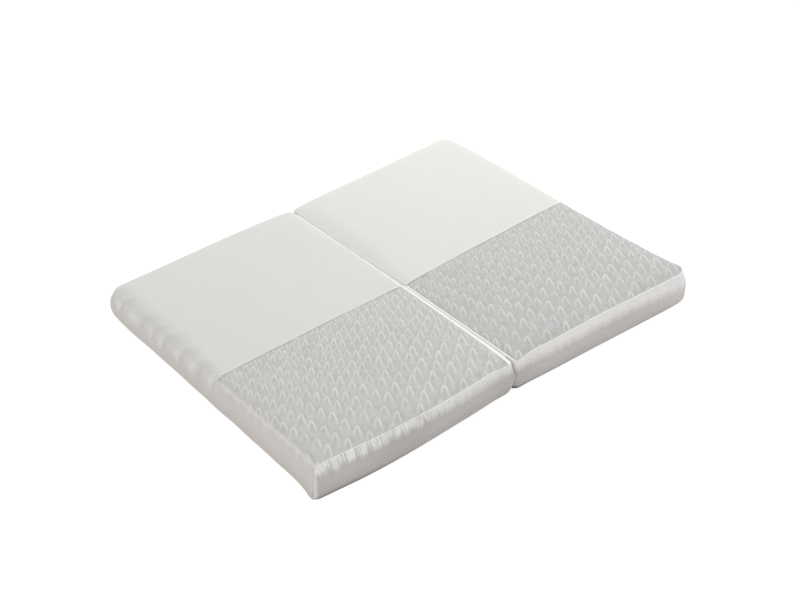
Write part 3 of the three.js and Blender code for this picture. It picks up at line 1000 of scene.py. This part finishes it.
# %% [markdown]
# ## Tape, joining strip and underside
# The fold is edged with a smooth white tape, fixed by one row of small stitches. Behind the middle
# seam it is covered with the plain knit, so its finish changes there. The strip of cloth that joins
# the pads is a plain weave in off-white. The underside of each pad doesn't show in the photograph.
# It is taken to be the same jersey as the walls, a little duller from lying on the floor. All three
# are too fine to model thread by thread, so they are colour and a shallow bump.


# %% Tape, strip and underside finishes
TAPE_ENDS = -0.021
CORD = 0.0011
WEAVE = 0.0012
UNDERSIDE_STITCH = 0.002


def tape_finish():
    finish = Finish("fold_tape")
    u, v = finish.along_cloth()
    grain = finish.noise(500.0, 2.0)
    cord = sine(v * (2 * math.pi / CORD)) * 0.5 + 0.5
    tone = finish.mixed(grain * 0.5 + cord * 0.15, paint(240, 240, 238), paint(226, 226, 224))
    knit = finish.mixed(grain, paint(244, 244, 241), paint(232, 232, 229))
    tone = finish.mixed(ramp(v, TAPE_ENDS - 0.008, TAPE_ENDS + 0.004), tone, knit)
    return finish.finish(tone, 0.68 + grain * 0.12, cord * 0.6 + grain * 0.4, 0.0001)


def strip_finish():
    finish = Finish("joining_strip")
    x, y = finish.place()[:2]
    weave = sine(x * (2 * math.pi / WEAVE)) * sine(y * (2 * math.pi / WEAVE))
    grain = finish.noise(400.0, 2.0)
    tone = finish.mixed(grain * 0.5 + weave * 0.15 + 0.2, paint(245, 245, 243), paint(230, 230, 228))
    return finish.finish(tone, 0.85 + grain * 0.1, weave * 0.5 + grain * 0.5, 0.00015)


def underside_finish():
    finish = Finish("pad_underside")
    x, y = finish.place()[:2]
    cloud = finish.noise(6.0, 4.0)
    grain = finish.noise(300.0, 2.0)
    rubbed = ramp(cloud, 0.45, 0.75)
    tone = finish.mixed(rubbed * 0.5 + grain * 0.3, paint(216, 213, 208), paint(194, 189, 183))
    stitches = knit_height(finish, x, y, UNDERSIDE_STITCH)
    return finish.finish(tone, 0.85 + grain * 0.1, stitches, 0.00025)


tape_cloth, strip_cloth, underside = tape_finish(), strip_finish(), underside_finish()
print("finishes so far:", len(bpy.data.materials))

# %% [markdown]
# ## Gathers
# Where the wall is sewn to the top of the left pad, the cloth is gathered in uneven pairs of folds,
# about 50 mm from pair to pair. The back half of that edge is soft and rolls over with no seam to
# be seen, so its gathers are large and lean towards the back as they reach the edge; along the grey
# half the seam shows and its gathers are small. Cloth simulation would put the gathers anywhere, so
# they are a formula. A gather pushes the cloth straight up on the top, sideways on the wall, and
# half and half at the edge between them, so that both sheets stay together. The rolled edge is
# drawn in a little, which rounds the turn from the top to the wall.

# %% Gathers
GATHER = 26.0
GATHER_REACH = 24.0
GATHERS_START, GATHERS_END = -352.0, 372.0
RIGHT_GATHER = 0.45
LEAN = 0.8
ROLLED = 12.0
SEWN_UP_TO = -30.0
HOLLOWS_END = 350.0


def gather_shape(place):
    """How far out the cloth stands at a place along a gathered edge, from 0 to 1."""
    drift = 1.1 * np.sin(place * 2 * np.pi / 197 + 1) + 0.8 * np.sin(place * 2 * np.pi / 113 + 2)
    large = 0.5 + 0.5 * np.cos(place * np.pi / GATHER + drift)
    small = 0.5 + 0.5 * np.cos(place * 2 * np.pi / GATHER + 2 * drift + 1)
    return 0.65 * large + 0.35 * small**1.3


def gathers(place, strength):
    """Outward gathers along an edge, from 0 to strength, uneven in width and height."""
    return strength * gather_shape(place) * (0.8 + 0.2 * np.sin(place * 2 * np.pi / 71 + 0.5))


def sewn_edge(pad, y):
    """How much the seam of the outer edge shows, from 0 to 1."""
    if pad["side"] > 0:
        return np.ones_like(y)
    return np.clip((SEWN_UP_TO - y) / 14, 0, 1)


def outer_folds(pad, y, from_edge, lean):
    """How far the gathers and the rolled edge move the cloth of the outer side."""
    if pad["side"] > 0:
        return gathers(y, RIGHT_GATHER) * np.exp(-((from_edge / GATHER_REACH) ** 2))
    grow = np.clip((y + 40) / 25, 0, 1)
    fade = np.clip((GATHERS_END - y) / 30, 0, 1) * np.clip((y - GATHERS_START) / 40, 0, 1)
    push = gathers(y + lean * from_edge, (0.8 + 2.0 * grow) * fade)
    drawn_in = np.clip(ROLLED - from_edge, 0, None) ** 2 / 100 * (1 - sewn_edge(pad, y))
    return push * np.exp(-((from_edge / GATHER_REACH) ** 2)) - drawn_in


def gather_hollow_shade(pad, y, from_edge, lean):
    """How much painted shade the dips between the gathers of the rolled edge get, from 0 to 1."""
    dip = (1 - gather_shape(y + lean * from_edge)) ** 1.5
    near = np.exp(-(((from_edge - 9) / 12) ** 2))
    fade = np.clip((HOLLOWS_END - y) / 40, 0, 1)
    return 0.45 * dip * near * (1 - sewn_edge(pad, y)) * fade


print("gathers every", GATHER, "mm, puckers of the front bands every", PUCKER, "mm")

# %% [markdown]
# ## Knit tops
# Each pad has two top panels that meet at the seam across its middle. The plain panel lies behind
# and the figured one in front. They could be one grid with two materials, but a maker cuts them
# apart, so each is its own sheet. They dive into their seams, swell softly between them, and take
# their share of the gathers at the outer edge. Beside the fold the right plain panel has a few
# shallow dips. The figured panels have finer cells, because the arches are raised in the mesh.

# %% Knit tops
SHEET_KNIT = 1.5
PLAIN_CELL = 3.0
FIGURED_CELL = 1.7
FRONT_TRIM = 10.0
BACK_TRIM = 6.0
WIDTH_ROWS = (4.0, 14.0)
DIPS_END, DIPS_FADE = 330.0, 150.0


def rows_at(distances, half, from_back):
    """The rows of the pad's grid at distances from the front or from the back edge."""
    rows = np.linspace(0, SEAM_ROW, 2000)
    found = np.interp(distances, row_distance(rows, half), rows)
    return LAST_ROW - found if from_back else found


def top_grid(pad, rows, first, width, distances):
    """A grid of top points, with distances that stay true near both sides as the width changes."""
    rows = rows[:, None]
    start, end = side_edges(pad, rows)
    first = first(rows) if callable(first) else first
    room = end - start - first
    share = np.clip((distances - 40) / (width - 80), 0, 1)
    return top_points(pad, rows, first + distances + (room - width) * share), first


def tape_width(pad):
    return lambda rows: along(pad["tape"], rows / LAST_ROW, 1)


def half_depths(pad):
    """How deep the panels in front of the middle seam and behind it are, beside the fold."""
    seam = pad["seam"][0]
    front, rear = pad["corners"]["fold_front"][0], pad["corners"]["fold_back"][0]
    return seam - front - FRONT_TRIM, rear - BACK_TRIM - seam


def add_top(pad, figured_half, first, cell, material, name, slot):
    edges = [side_edges(pad, row) for row in WIDTH_ROWS]
    width = float(np.mean([end - start for start, end in edges]))
    width -= float(np.mean(first(np.array(WIDTH_ROWS)))) if callable(first) else first
    half = half_depths(pad)[0 if figured_half else 1]
    across = spread(width - RIM - JOINT, cell) + RIM
    ahead = spread(half - 2 * RIM, cell) + RIM
    rows = rows_at(ahead, half, False)
    if not figured_half:
        rows = rows_at(ahead, half, True)[::-1]
    (base, far), first_at = top_grid(pad, rows, first, width, across)
    end_side = far["front"] if figured_half else far["back"]
    x, y = base[..., 0], base[..., 1]
    from_first = far["fold"] - first_at
    shown = sewn_edge(pad, y)
    relief = 0.35 * waves(x, y, 150, 3 + figured_half) * np.clip(end_side / 40, 0, 1)
    relief *= np.clip(far["outer"] / 25, 0, 1)
    relief += lip(far["seam"], 0.3, 1.0) if figured_half else lip(far["seam"], 1.1)
    relief += lip(end_side, 0.3, 0.5) + lip(far["outer"], 0.3, 0.6) * shown
    relief += lip(from_first, 0.25 if figured_half else 0.4)
    if pad["side"] > 0 and not figured_half:
        near_crossing = np.clip((DIPS_END - y) / DIPS_FADE, 0, 1)
        relief += gathers(y * 0.8, 1.2) * np.exp(-((far["fold"] / 34) ** 2)) * near_crossing
    if figured_half:
        pale, hollow_shade = arches(pad["name"], (pad["side"] * x - ORIGIN[0]) * MM, (y - ORIGIN[1]) * MM)
        relief += 0.4 * pale - 0.2 * hollow_shade
    folds = outer_folds(pad, y, far["outer"], LEAN)
    turn_up = math.pi / 4 * (1 + np.clip(far["outer"] / 30, 0, 1))
    base = base + folds[..., None] * np.stack([np.cos(turn_up), 0 * turn_up, np.sin(turn_up)], -1)
    # Seam marks: paler painted highlights along the seams, and below 0 painted shade in the groove
    # beside the middle seam and in the hollows between the gathers.
    seam = np.maximum(0.6 * pale_line(end_side), pale_line(far["outer"]) * shown)
    if figured_half:
        seam = seam - np.exp(-(((far["seam"] - 0.9) / 1.1) ** 2))
    else:
        seam = np.maximum(seam, pale_line(far["seam"])) - gather_hollow_shade(pad, y, far["outer"], LEAN)
    # Painted shade in the shallow dips beside the fold of the right plain top.
    if pad["side"] > 0 and not figured_half:
        fold_dip_shade = (0.4 + 0.6 * (1 - gather_shape(y * 0.8))) * np.exp(-((far["fold"] / 28) ** 2))
        seam = seam - 0.15 * fold_dip_shade * near_crossing
    uv = np.stack([x, y], -1)
    return add_sheet(pad["side"], name, base, relief, SHEET_KNIT, material, slot, uv, seam)


for pad, plain in ((LEFT, plain_left), (RIGHT, plain_right)):
    name = pad["name"]
    first = tape_width(pad) if pad["side"] < 0 else 0.0
    add_top(
        pad, False, first, PLAIN_CELL, plain, "knit_top_" + name, "plain_knit"
    )
    "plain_" + name
    add_top(
        pad, True, tape_width(pad), FIGURED_CELL, figured[name], "arched_top_" + name, "figured_knit"
    )
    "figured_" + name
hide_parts("top_plain_left")
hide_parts("top_plain_right")
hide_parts("top_figured_left")
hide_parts("top_figured_right")

# %% [markdown]
# ## Walls and mesh bands
# A wall is one long strip of cloth, sewn to the edge of the top. It could be pulled up from an
# extruded outline, but the top edge isn't level and the belly changes along the way. So a wall is a
# grid too: its columns follow the edge of the top round the pad, and its rows run from the floor up
# to that edge. The plain wall goes round the outer side and the back, and the mesh band across the
# front turns in at the fold. Where the left edge is rolled, the pale cloth of the top comes over the
# edge in round lobes, one for each gather.

# %% Walls and mesh bands
SHEET_MESH = 2.5
WALL_CELL = (2.2, 2.2)
OUTER_FROM = 400.0
BAND_CELL = (0.95, 0.85)
LOW_LEVEL = 0.012
USUAL_WALL = {"inset": 11, "foot": 5, "lift": 0.14}
USUAL_HEIGHT = 70
LOBES_END = 360.0


def wall_levels(step):
    """Levels of the rows, evenly apart along a usual wall, and finer under the top seam."""
    level = np.linspace(LOW_LEVEL, 1, 800)
    profile = np.stack([wall_out(level, **USUAL_WALL), USUAL_HEIGHT * level], -1)
    steps = np.linalg.norm(np.diff(profile, axis=0), axis=1)
    height = np.concatenate([[0], np.cumsum(steps)])
    up_wall = spread(height[-1] - JOINT, step, fine_start=False)
    return np.interp(up_wall, height, level), up_wall, height[-1]


def add_wall(pad, start, end, cell, thickness, relief_of, material, name, slot):
    levels, up_wall, height = wall_levels(cell[1])
    length = end - start
    distance = start + JOINT + spread(length - 2 * JOINT, cell[0])
    base = wall_points(pad, distance, levels)
    from_top = (height - up_wall)[:, None]
    places = {"along": (distance - start)[None, :], "to_end": (end - distance)[None, :]}
    places.update(up=up_wall[:, None], down=from_top)
    push, relief, seam = relief_of(base, places)
    sideways = outward(base)
    sideways[..., 2] = 0.0
    sideways /= np.linalg.norm(sideways, axis=-1, keepdims=True)
    turn_up = np.broadcast_to(math.pi / 4 * np.exp(-from_top / 12), push.shape)[..., None]
    way = sideways * np.cos(turn_up) + np.array((0.0, 0.0, 1.0)) * np.sin(turn_up)
    base = base + push[..., None] * way
    uv = np.stack(np.meshgrid(distance - start, up_wall - height), -1)
    return add_sheet(pad["side"], name, base, relief, thickness, material, slot, uv, seam)


def plain_wall_relief(pad):
    """Gathers along the outer side, small ones along the back, and a seam that shows in part."""

    def relief(base, places):
        x, y = base[..., 0], base[..., 1]
        down = places["down"]
        outer = x > OUTER_FROM
        at_back = 0.4 * np.clip((OUTER_FROM - x) / 60, 0, 1) * np.exp(-((down / GATHER_REACH) ** 2))
        push = np.where(outer, outer_folds(pad, y, down, 0.0), gathers(x, at_back))
        shown = np.where(outer, sewn_edge(pad, y), 1.0)
        soft = 0.5 * (waves(places["along"], places["up"], 110, 8) + 0.6) * np.clip(down / 12, 0, 1)
        shape = gather_shape(y) ** 0.45
        lobe = np.exp(-((down / (6 + 16 * shape)) ** 3)) * (0.3 + 0.55 * shape)
        rolled = lobe * (1 - shown) * outer * np.clip((LOBES_END - y) / 30, 0, 1)
        tongue = 0.75 * np.exp(-((down / (2.5 + 10 * gather_shape(1.6 * y) ** 0.8)) ** 2))
        # The seam mark: a paler painted highlight under the sewn seam, and the pale lobes of the top's
        # cloth where the edge is rolled.
        sewn = np.where(outer, tongue, 0.7 * pale_line(down)) * shown
        # Painted shade in the hollows between the gathers of the outer side.
        hollow_shade = np.where(outer, 0.6 * gather_hollow_shade(pad, y, down, 0.0), 0.0)
        seam = np.maximum(sewn, rolled) - hollow_shade
        return push, soft + lip(down, 0.3, 0.5) * shown, seam

    return relief


def corner_bulge(pad, places):
    """At the fold the left band bulges out over a drawn-in foot, and the right one is pressed in."""
    turn = pad["ring"][1]["fold_0"][1]
    up = places["up"]
    near_corner = np.exp(-(((places["along"] - turn - 2) / 7) ** 2))
    if pad["side"] > 0:
        near_end = np.exp(-((places["to_end"] / 22) ** 2))
        outer_end = 1.5 * near_end * np.exp(-(((up - 36) / 20) ** 2))
        return outer_end - 1.5 * near_corner * np.exp(-(((up - 12) / 22) ** 2))
    belly = 5.0 * np.exp(-(((up - 38) / 16) ** 2))
    foot = -2.5 * np.exp(-(((up - 5) / 9) ** 2))
    return near_corner * (belly + foot)


def band_relief(pad):
    """Ribs and columns of the mesh, bunches under the top seam, and the seam of the outer corner."""

    def relief(base, places):
        along_band, up, down = places["along"], places["up"], places["down"]
        rib, wale = waffle(along_band, down)
        high = np.clip(1.2 - down / 26, 0, 1)
        quiet = np.clip((down - 0.8) / 2, 0, 1) * np.clip(up / 3, 0, 1)
        ribs = (0.55 - 0.4 * high) * rib + (0.06 + 0.45 * high) * wale
        strength = 1.6 if pad["side"] < 0 else 0.5
        bunches = strength * bunching(along_band) * np.exp(-(((down - 8) / 10) ** 2))
        swell = lip(down, 0.15, 0.25) + 0.2 * pale_line(places["to_end"])
        corner_seam = 0.9 * np.exp(-((places["to_end"] / 1.5) ** 2))
        # The seam mark: a paler painted highlight under the top seam and along the seam of the outer
        # corner.
        seam = np.maximum(0.35 * pale_line(down), corner_seam)
        # On the right band, painted shadow in the gap at the fold corner, deepest low down, and a faint
        # painted shade fading away from the fold.
        if pad["side"] > 0:
            past_turn = along_band - pad["ring"][1]["fold_0"][1]
            at_fold = np.exp(-((past_turn / 7) ** 2))
            seam = seam - at_fold * np.clip((12 - up) / 8, 0, 1) - 0.12 * np.exp(-(past_turn / 45))
        return 0 * ribs, ribs * quiet + bunches + corner_bulge(pad, places) + swell, seam

    return relief


walls, bands = {}, {}
for pad, mesh_cloth in ((LEFT, mesh_left), (RIGHT, mesh_right)):
    name = pad["name"]
    marks = pad["ring"][1]
    turn_end = marks["outer_2"][0] if pad["side"] < 0 else marks["outer_start"]
    band_cloth = (band_relief(pad), mesh_cloth, "mesh_front_" + name, "mesh_band")
    bands[name] = add_wall(pad, 0.0, turn_end, BAND_CELL, SHEET_MESH, *band_cloth)
    wall_cloth = (plain_wall_relief(pad), wall_finish, "knit_wall_" + name, "wall_knit")
    walls[name] = add_wall(pad, turn_end, marks["fold_back"], WALL_CELL, SHEET_KNIT, *wall_cloth)
    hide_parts("band_mesh_" + name)
    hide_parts("wall_plain_" + name)

# %% [markdown]
# ## White tape along the fold
# A flat white tape covers the edge of the left pad for the whole length of the fold, and narrows
# towards the back. On the right pad a narrow one edges the figured half only. Both lie a little
# proud of the knit, and rise towards the fold in front of the middle seam. A straight box would cut
# through the crown of the pad, so a tape is a narrow sheet on the same shape as the tops. One row of
# small stitches holds the wide tape, and each stitch is a tiny six-sided thread, made once and set
# down many times.

# %% Tape
TAPE_PROUD = 0.5
TAPE_LIFT = 2.0
TAPE_CELLS = 12
TAPE_STEP = 2.4
RIGHT_LIFT_SHARE = 0.4


def add_tape(pad, last_row, name):
    width = tape_width(pad)
    front_half, back_half = half_depths(pad)
    rows = rows_at(spread(front_half - RIM, TAPE_STEP, fine_end=False) + RIM, front_half, False)
    if last_row == LAST_ROW:
        ahead = spread(back_half - RIM, TAPE_STEP, fine_end=False) + RIM
        rows = np.concatenate([rows, rows_at(ahead, back_half, True)[::-1][1:]])
    share = np.linspace(0, 1, TAPE_CELLS + 1)[None, :]
    wide = width(rows)[:, None]
    base, far = top_points(pad, rows[:, None], RIM + share * (wide - 2 * RIM))
    from_side = np.minimum(far["fold"], wide - far["fold"])
    round_side = 0.45 * np.exp(-((from_side / 0.7) ** 2))
    toward_fold = np.clip(1 - far["fold"] / wide, 0, 1) ** 1.3
    relief = TAPE_PROUD - round_side + 0.08 * waves(base[..., 0], base[..., 1], 14, 5)
    behind = np.clip((base[..., 1] * MM - TAPE_ENDS) / 0.006 + 1, 0, 1)
    relief += TAPE_LIFT * toward_fold * (1.0 if pad["side"] < 0 else RIGHT_LIFT_SHARE) * (1 - behind)
    uv = np.stack([base[..., 0], base[..., 1]], -1)
    length = np.linalg.norm(np.diff(base[:, 0], axis=0), axis=1).sum()
    print(name, "is", round(float(length)), "mm long")
    return add_sheet(pad["side"], name, base, relief, SHEET_KNIT, tape_cloth, "welt", uv, 0 * relief)


tape_left = add_tape(LEFT, LAST_ROW, "fold_tape_left")
tape_right = add_tape(RIGHT, SEAM_ROW, "fold_tape_right")
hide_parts("welt_left")
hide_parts("welt_right")

# %% Stitches on the tape
STITCH_PITCH = 3.6
STITCH_LENGTH = 2.3
STITCH_RADIUS = 0.4
STITCH_SIDES = 6
STITCH_PROUD = 0.12
FIRST_STITCH, LAST_STITCH = 14.0, 690.0
TAPE_SLOPE = 0.225


def stitch_shape():
    """One short thread along y: rings of six points, closed at both ends."""
    rings = ((-0.5, 0.45), (-0.3, 1.0), (0.3, 1.0), (0.5, 0.45))
    turns = np.arange(STITCH_SIDES) * 2 * np.pi / STITCH_SIDES
    points = [
        (np.cos(a) * r * STITCH_RADIUS, y * STITCH_LENGTH, np.sin(a) * r * STITCH_RADIUS)
        for y, r in rings
        for a in turns
    ]
    faces = [list(range(STITCH_SIDES)), list(range(4 * STITCH_SIDES - 1, 3 * STITCH_SIDES - 1, -1))]
    for ring in range(3):
        for side in range(STITCH_SIDES):
            after = (side + 1) % STITCH_SIDES
            low, high = ring * STITCH_SIDES, (ring + 1) * STITCH_SIDES
            faces.append([low + after, low + side, high + side, high + after])
    return np.array(points), faces


def add_stitches():
    shape, shape_faces = stitch_shape()
    width = tape_width(LEFT)
    ahead = np.arange(FIRST_STITCH, LAST_STITCH, STITCH_PITCH)
    front_half, back_half = half_depths(LEFT)
    from_end = front_half + back_half - ahead
    in_front = ahead < front_half
    rows = np.where(in_front, rows_at(ahead, front_half, False), rows_at(from_end, back_half, True))
    middle, _ = top_points(LEFT, rows, width(rows) * 0.5)
    middle[:, 0] *= -1
    middle[:, 2] += TAPE_PROUD + STITCH_PROUD
    points = (middle[:, None, :] + shape[None, :, :]).reshape(-1, 3)
    points[:, 2] -= np.tile(shape[:, 0], len(middle)) * TAPE_SLOPE
    faces = [
        [corner + number * len(shape) for corner in face]
        for number in range(len(middle))
        for face in shape_faces
    ]
    return add_piece("tape_stitches", points, faces, tape_cloth, points[:, :2])


stitches = add_stitches()

# %% [markdown]
# ## Strip in the fold
# A strip of cloth joins the pads, and the mattress folds along it. It is fixed along the edge of
# the left pad, dips into the groove between the pads, and comes up to the edge of the right pad. A
# flat plane would float over the groove, so the strip is a grid that follows both walls, and a
# little averaging rounds its turns.

# %% Strip in the fold
STRIP_THICK = 1.0
STRIP_LEVELS = (0.965, 0.982, 0.997)
STRIP_ROWS = 241
STRIP_COLUMNS = 13


def add_strip():
    rows = np.linspace(CORNER_ROWS, LAST_ROW - CORNER_ROWS, STRIP_ROWS)
    back_to_front = np.linspace(LAST_ROW, CORNER_ROWS, RING_POINTS)
    lines = []
    for pad in (LEFT, RIGHT):
        start = pad["ring"][1]["fold_4"][0]
        line, _ = top_points(pad, back_to_front, 0.0)
        steps = np.linalg.norm(np.diff(line, axis=0), axis=1)
        along_fold = np.concatenate([[0], np.cumsum(steps)])
        distance = start + np.interp(-rows, -back_to_front, along_fold)
        points = wall_points(pad, distance, np.array(STRIP_LEVELS))
        points[..., 0] *= pad["side"]
        lines.append(points)
    left_wall, right_wall = lines
    stops = np.stack([*left_wall[::-1], *right_wall], 1)
    last_stop = stops.shape[1] - 1
    place = np.linspace(0, last_stop, STRIP_COLUMNS)
    before = np.minimum(place.astype(int), last_stop - 1)
    share = (place - before)[:, None]
    base = blended(stops[:, before], stops[:, before + 1], share)
    smooth = base.copy()
    smooth[:, 1:-1] = (base[:, :-2] + 2 * base[:, 1:-1] + base[:, 2:]) / 4
    relief = 0.25 * waves(smooth[..., 1], smooth[..., 0], 30, 11) - 0.3
    uv = np.stack([smooth[..., 0], smooth[..., 1]], -1)
    cloth = (STRIP_THICK, strip_cloth, "hinge_cloth")
    return add_sheet(1, "fold_strip", smooth, relief, *cloth, uv, 0 * relief)


strip = add_strip()
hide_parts("hinge_strip")

# %% [markdown]
# ## Filled pads
# The foam block and the underside of its cover are one soft solid on each side. A box with rounded
# edges would be quicker, but it would leave a gap under the bowed front and the slanting corners.
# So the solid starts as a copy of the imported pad, drawn in a little, and is rebuilt in even small
# faces. Cloth pressure then swells it like a stuffed cover. No point may move further than a few
# millimetres, and it stays flat where it rests on the floor.

# %% Filled pads
SHRINK = 0.0025
SWELL = 0.0025
VOXEL = 0.006
FRAMES = 20
PRESSURE = 4.0
CLOTH_MASS = 0.3
ON_FLOOR = 0.0005
NEAR_FLOOR = 0.0015


def points_of(mesh):
    flat = np.zeros(len(mesh.vertices) * 3)
    mesh.vertices.foreach_get("co", flat)
    return flat.reshape(-1, 3)


def merged_copy(node_name, name):
    """A copy of a packed pad whose loose triangles are joined."""
    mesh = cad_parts[node_name].data.copy()
    mesh.name = name
    piece = bpy.data.objects.new(name, mesh)
    bpy.context.collection.objects.link(piece)
    only(piece)
    bpy.ops.object.mode_set(mode="EDIT")
    bpy.ops.mesh.select_all(action="SELECT")
    bpy.ops.mesh.remove_doubles(threshold=0.00001)
    bpy.ops.object.mode_set(mode="OBJECT")
    return piece


def draw_in(piece):
    mesh = piece.data
    points = points_of(mesh)
    normals = np.array([vertex.normal for vertex in mesh.vertices])
    normals[points[:, 2] < ON_FLOOR, 2] = 0.0
    points -= normals * SHRINK
    mesh.vertices.foreach_set("co", points.ravel())
    mesh.update()


def swell(piece):
    """Cloth pressure, with its result applied."""
    cloth = piece.modifiers.new("stuffing", "CLOTH")
    cloth.settings.use_pressure = True
    cloth.settings.uniform_pressure_force = PRESSURE
    cloth.settings.effector_weights.gravity = 0.0
    cloth.settings.mass = CLOTH_MASS
    cloth.point_cache.frame_start = 1
    cloth.point_cache.frame_end = FRAMES
    for step in range(1, FRAMES + 1):
        bpy.context.scene.frame_set(step)
    only(piece)
    bpy.ops.object.modifier_apply(modifier=cloth.name)
    bpy.context.scene.frame_set(1)


def add_filled_pad(side_name):
    piece = merged_copy("pad_" + side_name, "foam_pad_" + side_name)
    draw_in(piece)
    remesh = piece.modifiers.new("even_faces", "REMESH")
    remesh.mode = "VOXEL"
    remesh.voxel_size = VOXEL
    only(piece)
    bpy.ops.object.modifier_apply(modifier=remesh.name)
    start = points_of(piece.data)
    swell(piece)
    moved = points_of(piece.data) - start
    far = np.linalg.norm(moved, axis=1, keepdims=True)
    points = start + moved * np.minimum(1, SWELL / np.maximum(far, 1e-9))
    points[start[:, 2] < NEAR_FLOOR, 2] = 0.0
    points[:, 2] = np.maximum(points[:, 2], 0.0)
    piece.data.vertices.foreach_set("co", points.ravel())
    piece.data.update()
    piece.data.materials.clear()
    piece.data.materials.append(underside)
    only(piece)
    bpy.ops.object.shade_smooth()
    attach(piece, "root")
    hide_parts("pad_" + side_name)
    print(piece.name, "swelled by up to", round(float(far.max()) / MM, 2), "mm,", len(start), "points")


for side_name in ("left", "right"):
    add_filled_pad(side_name)
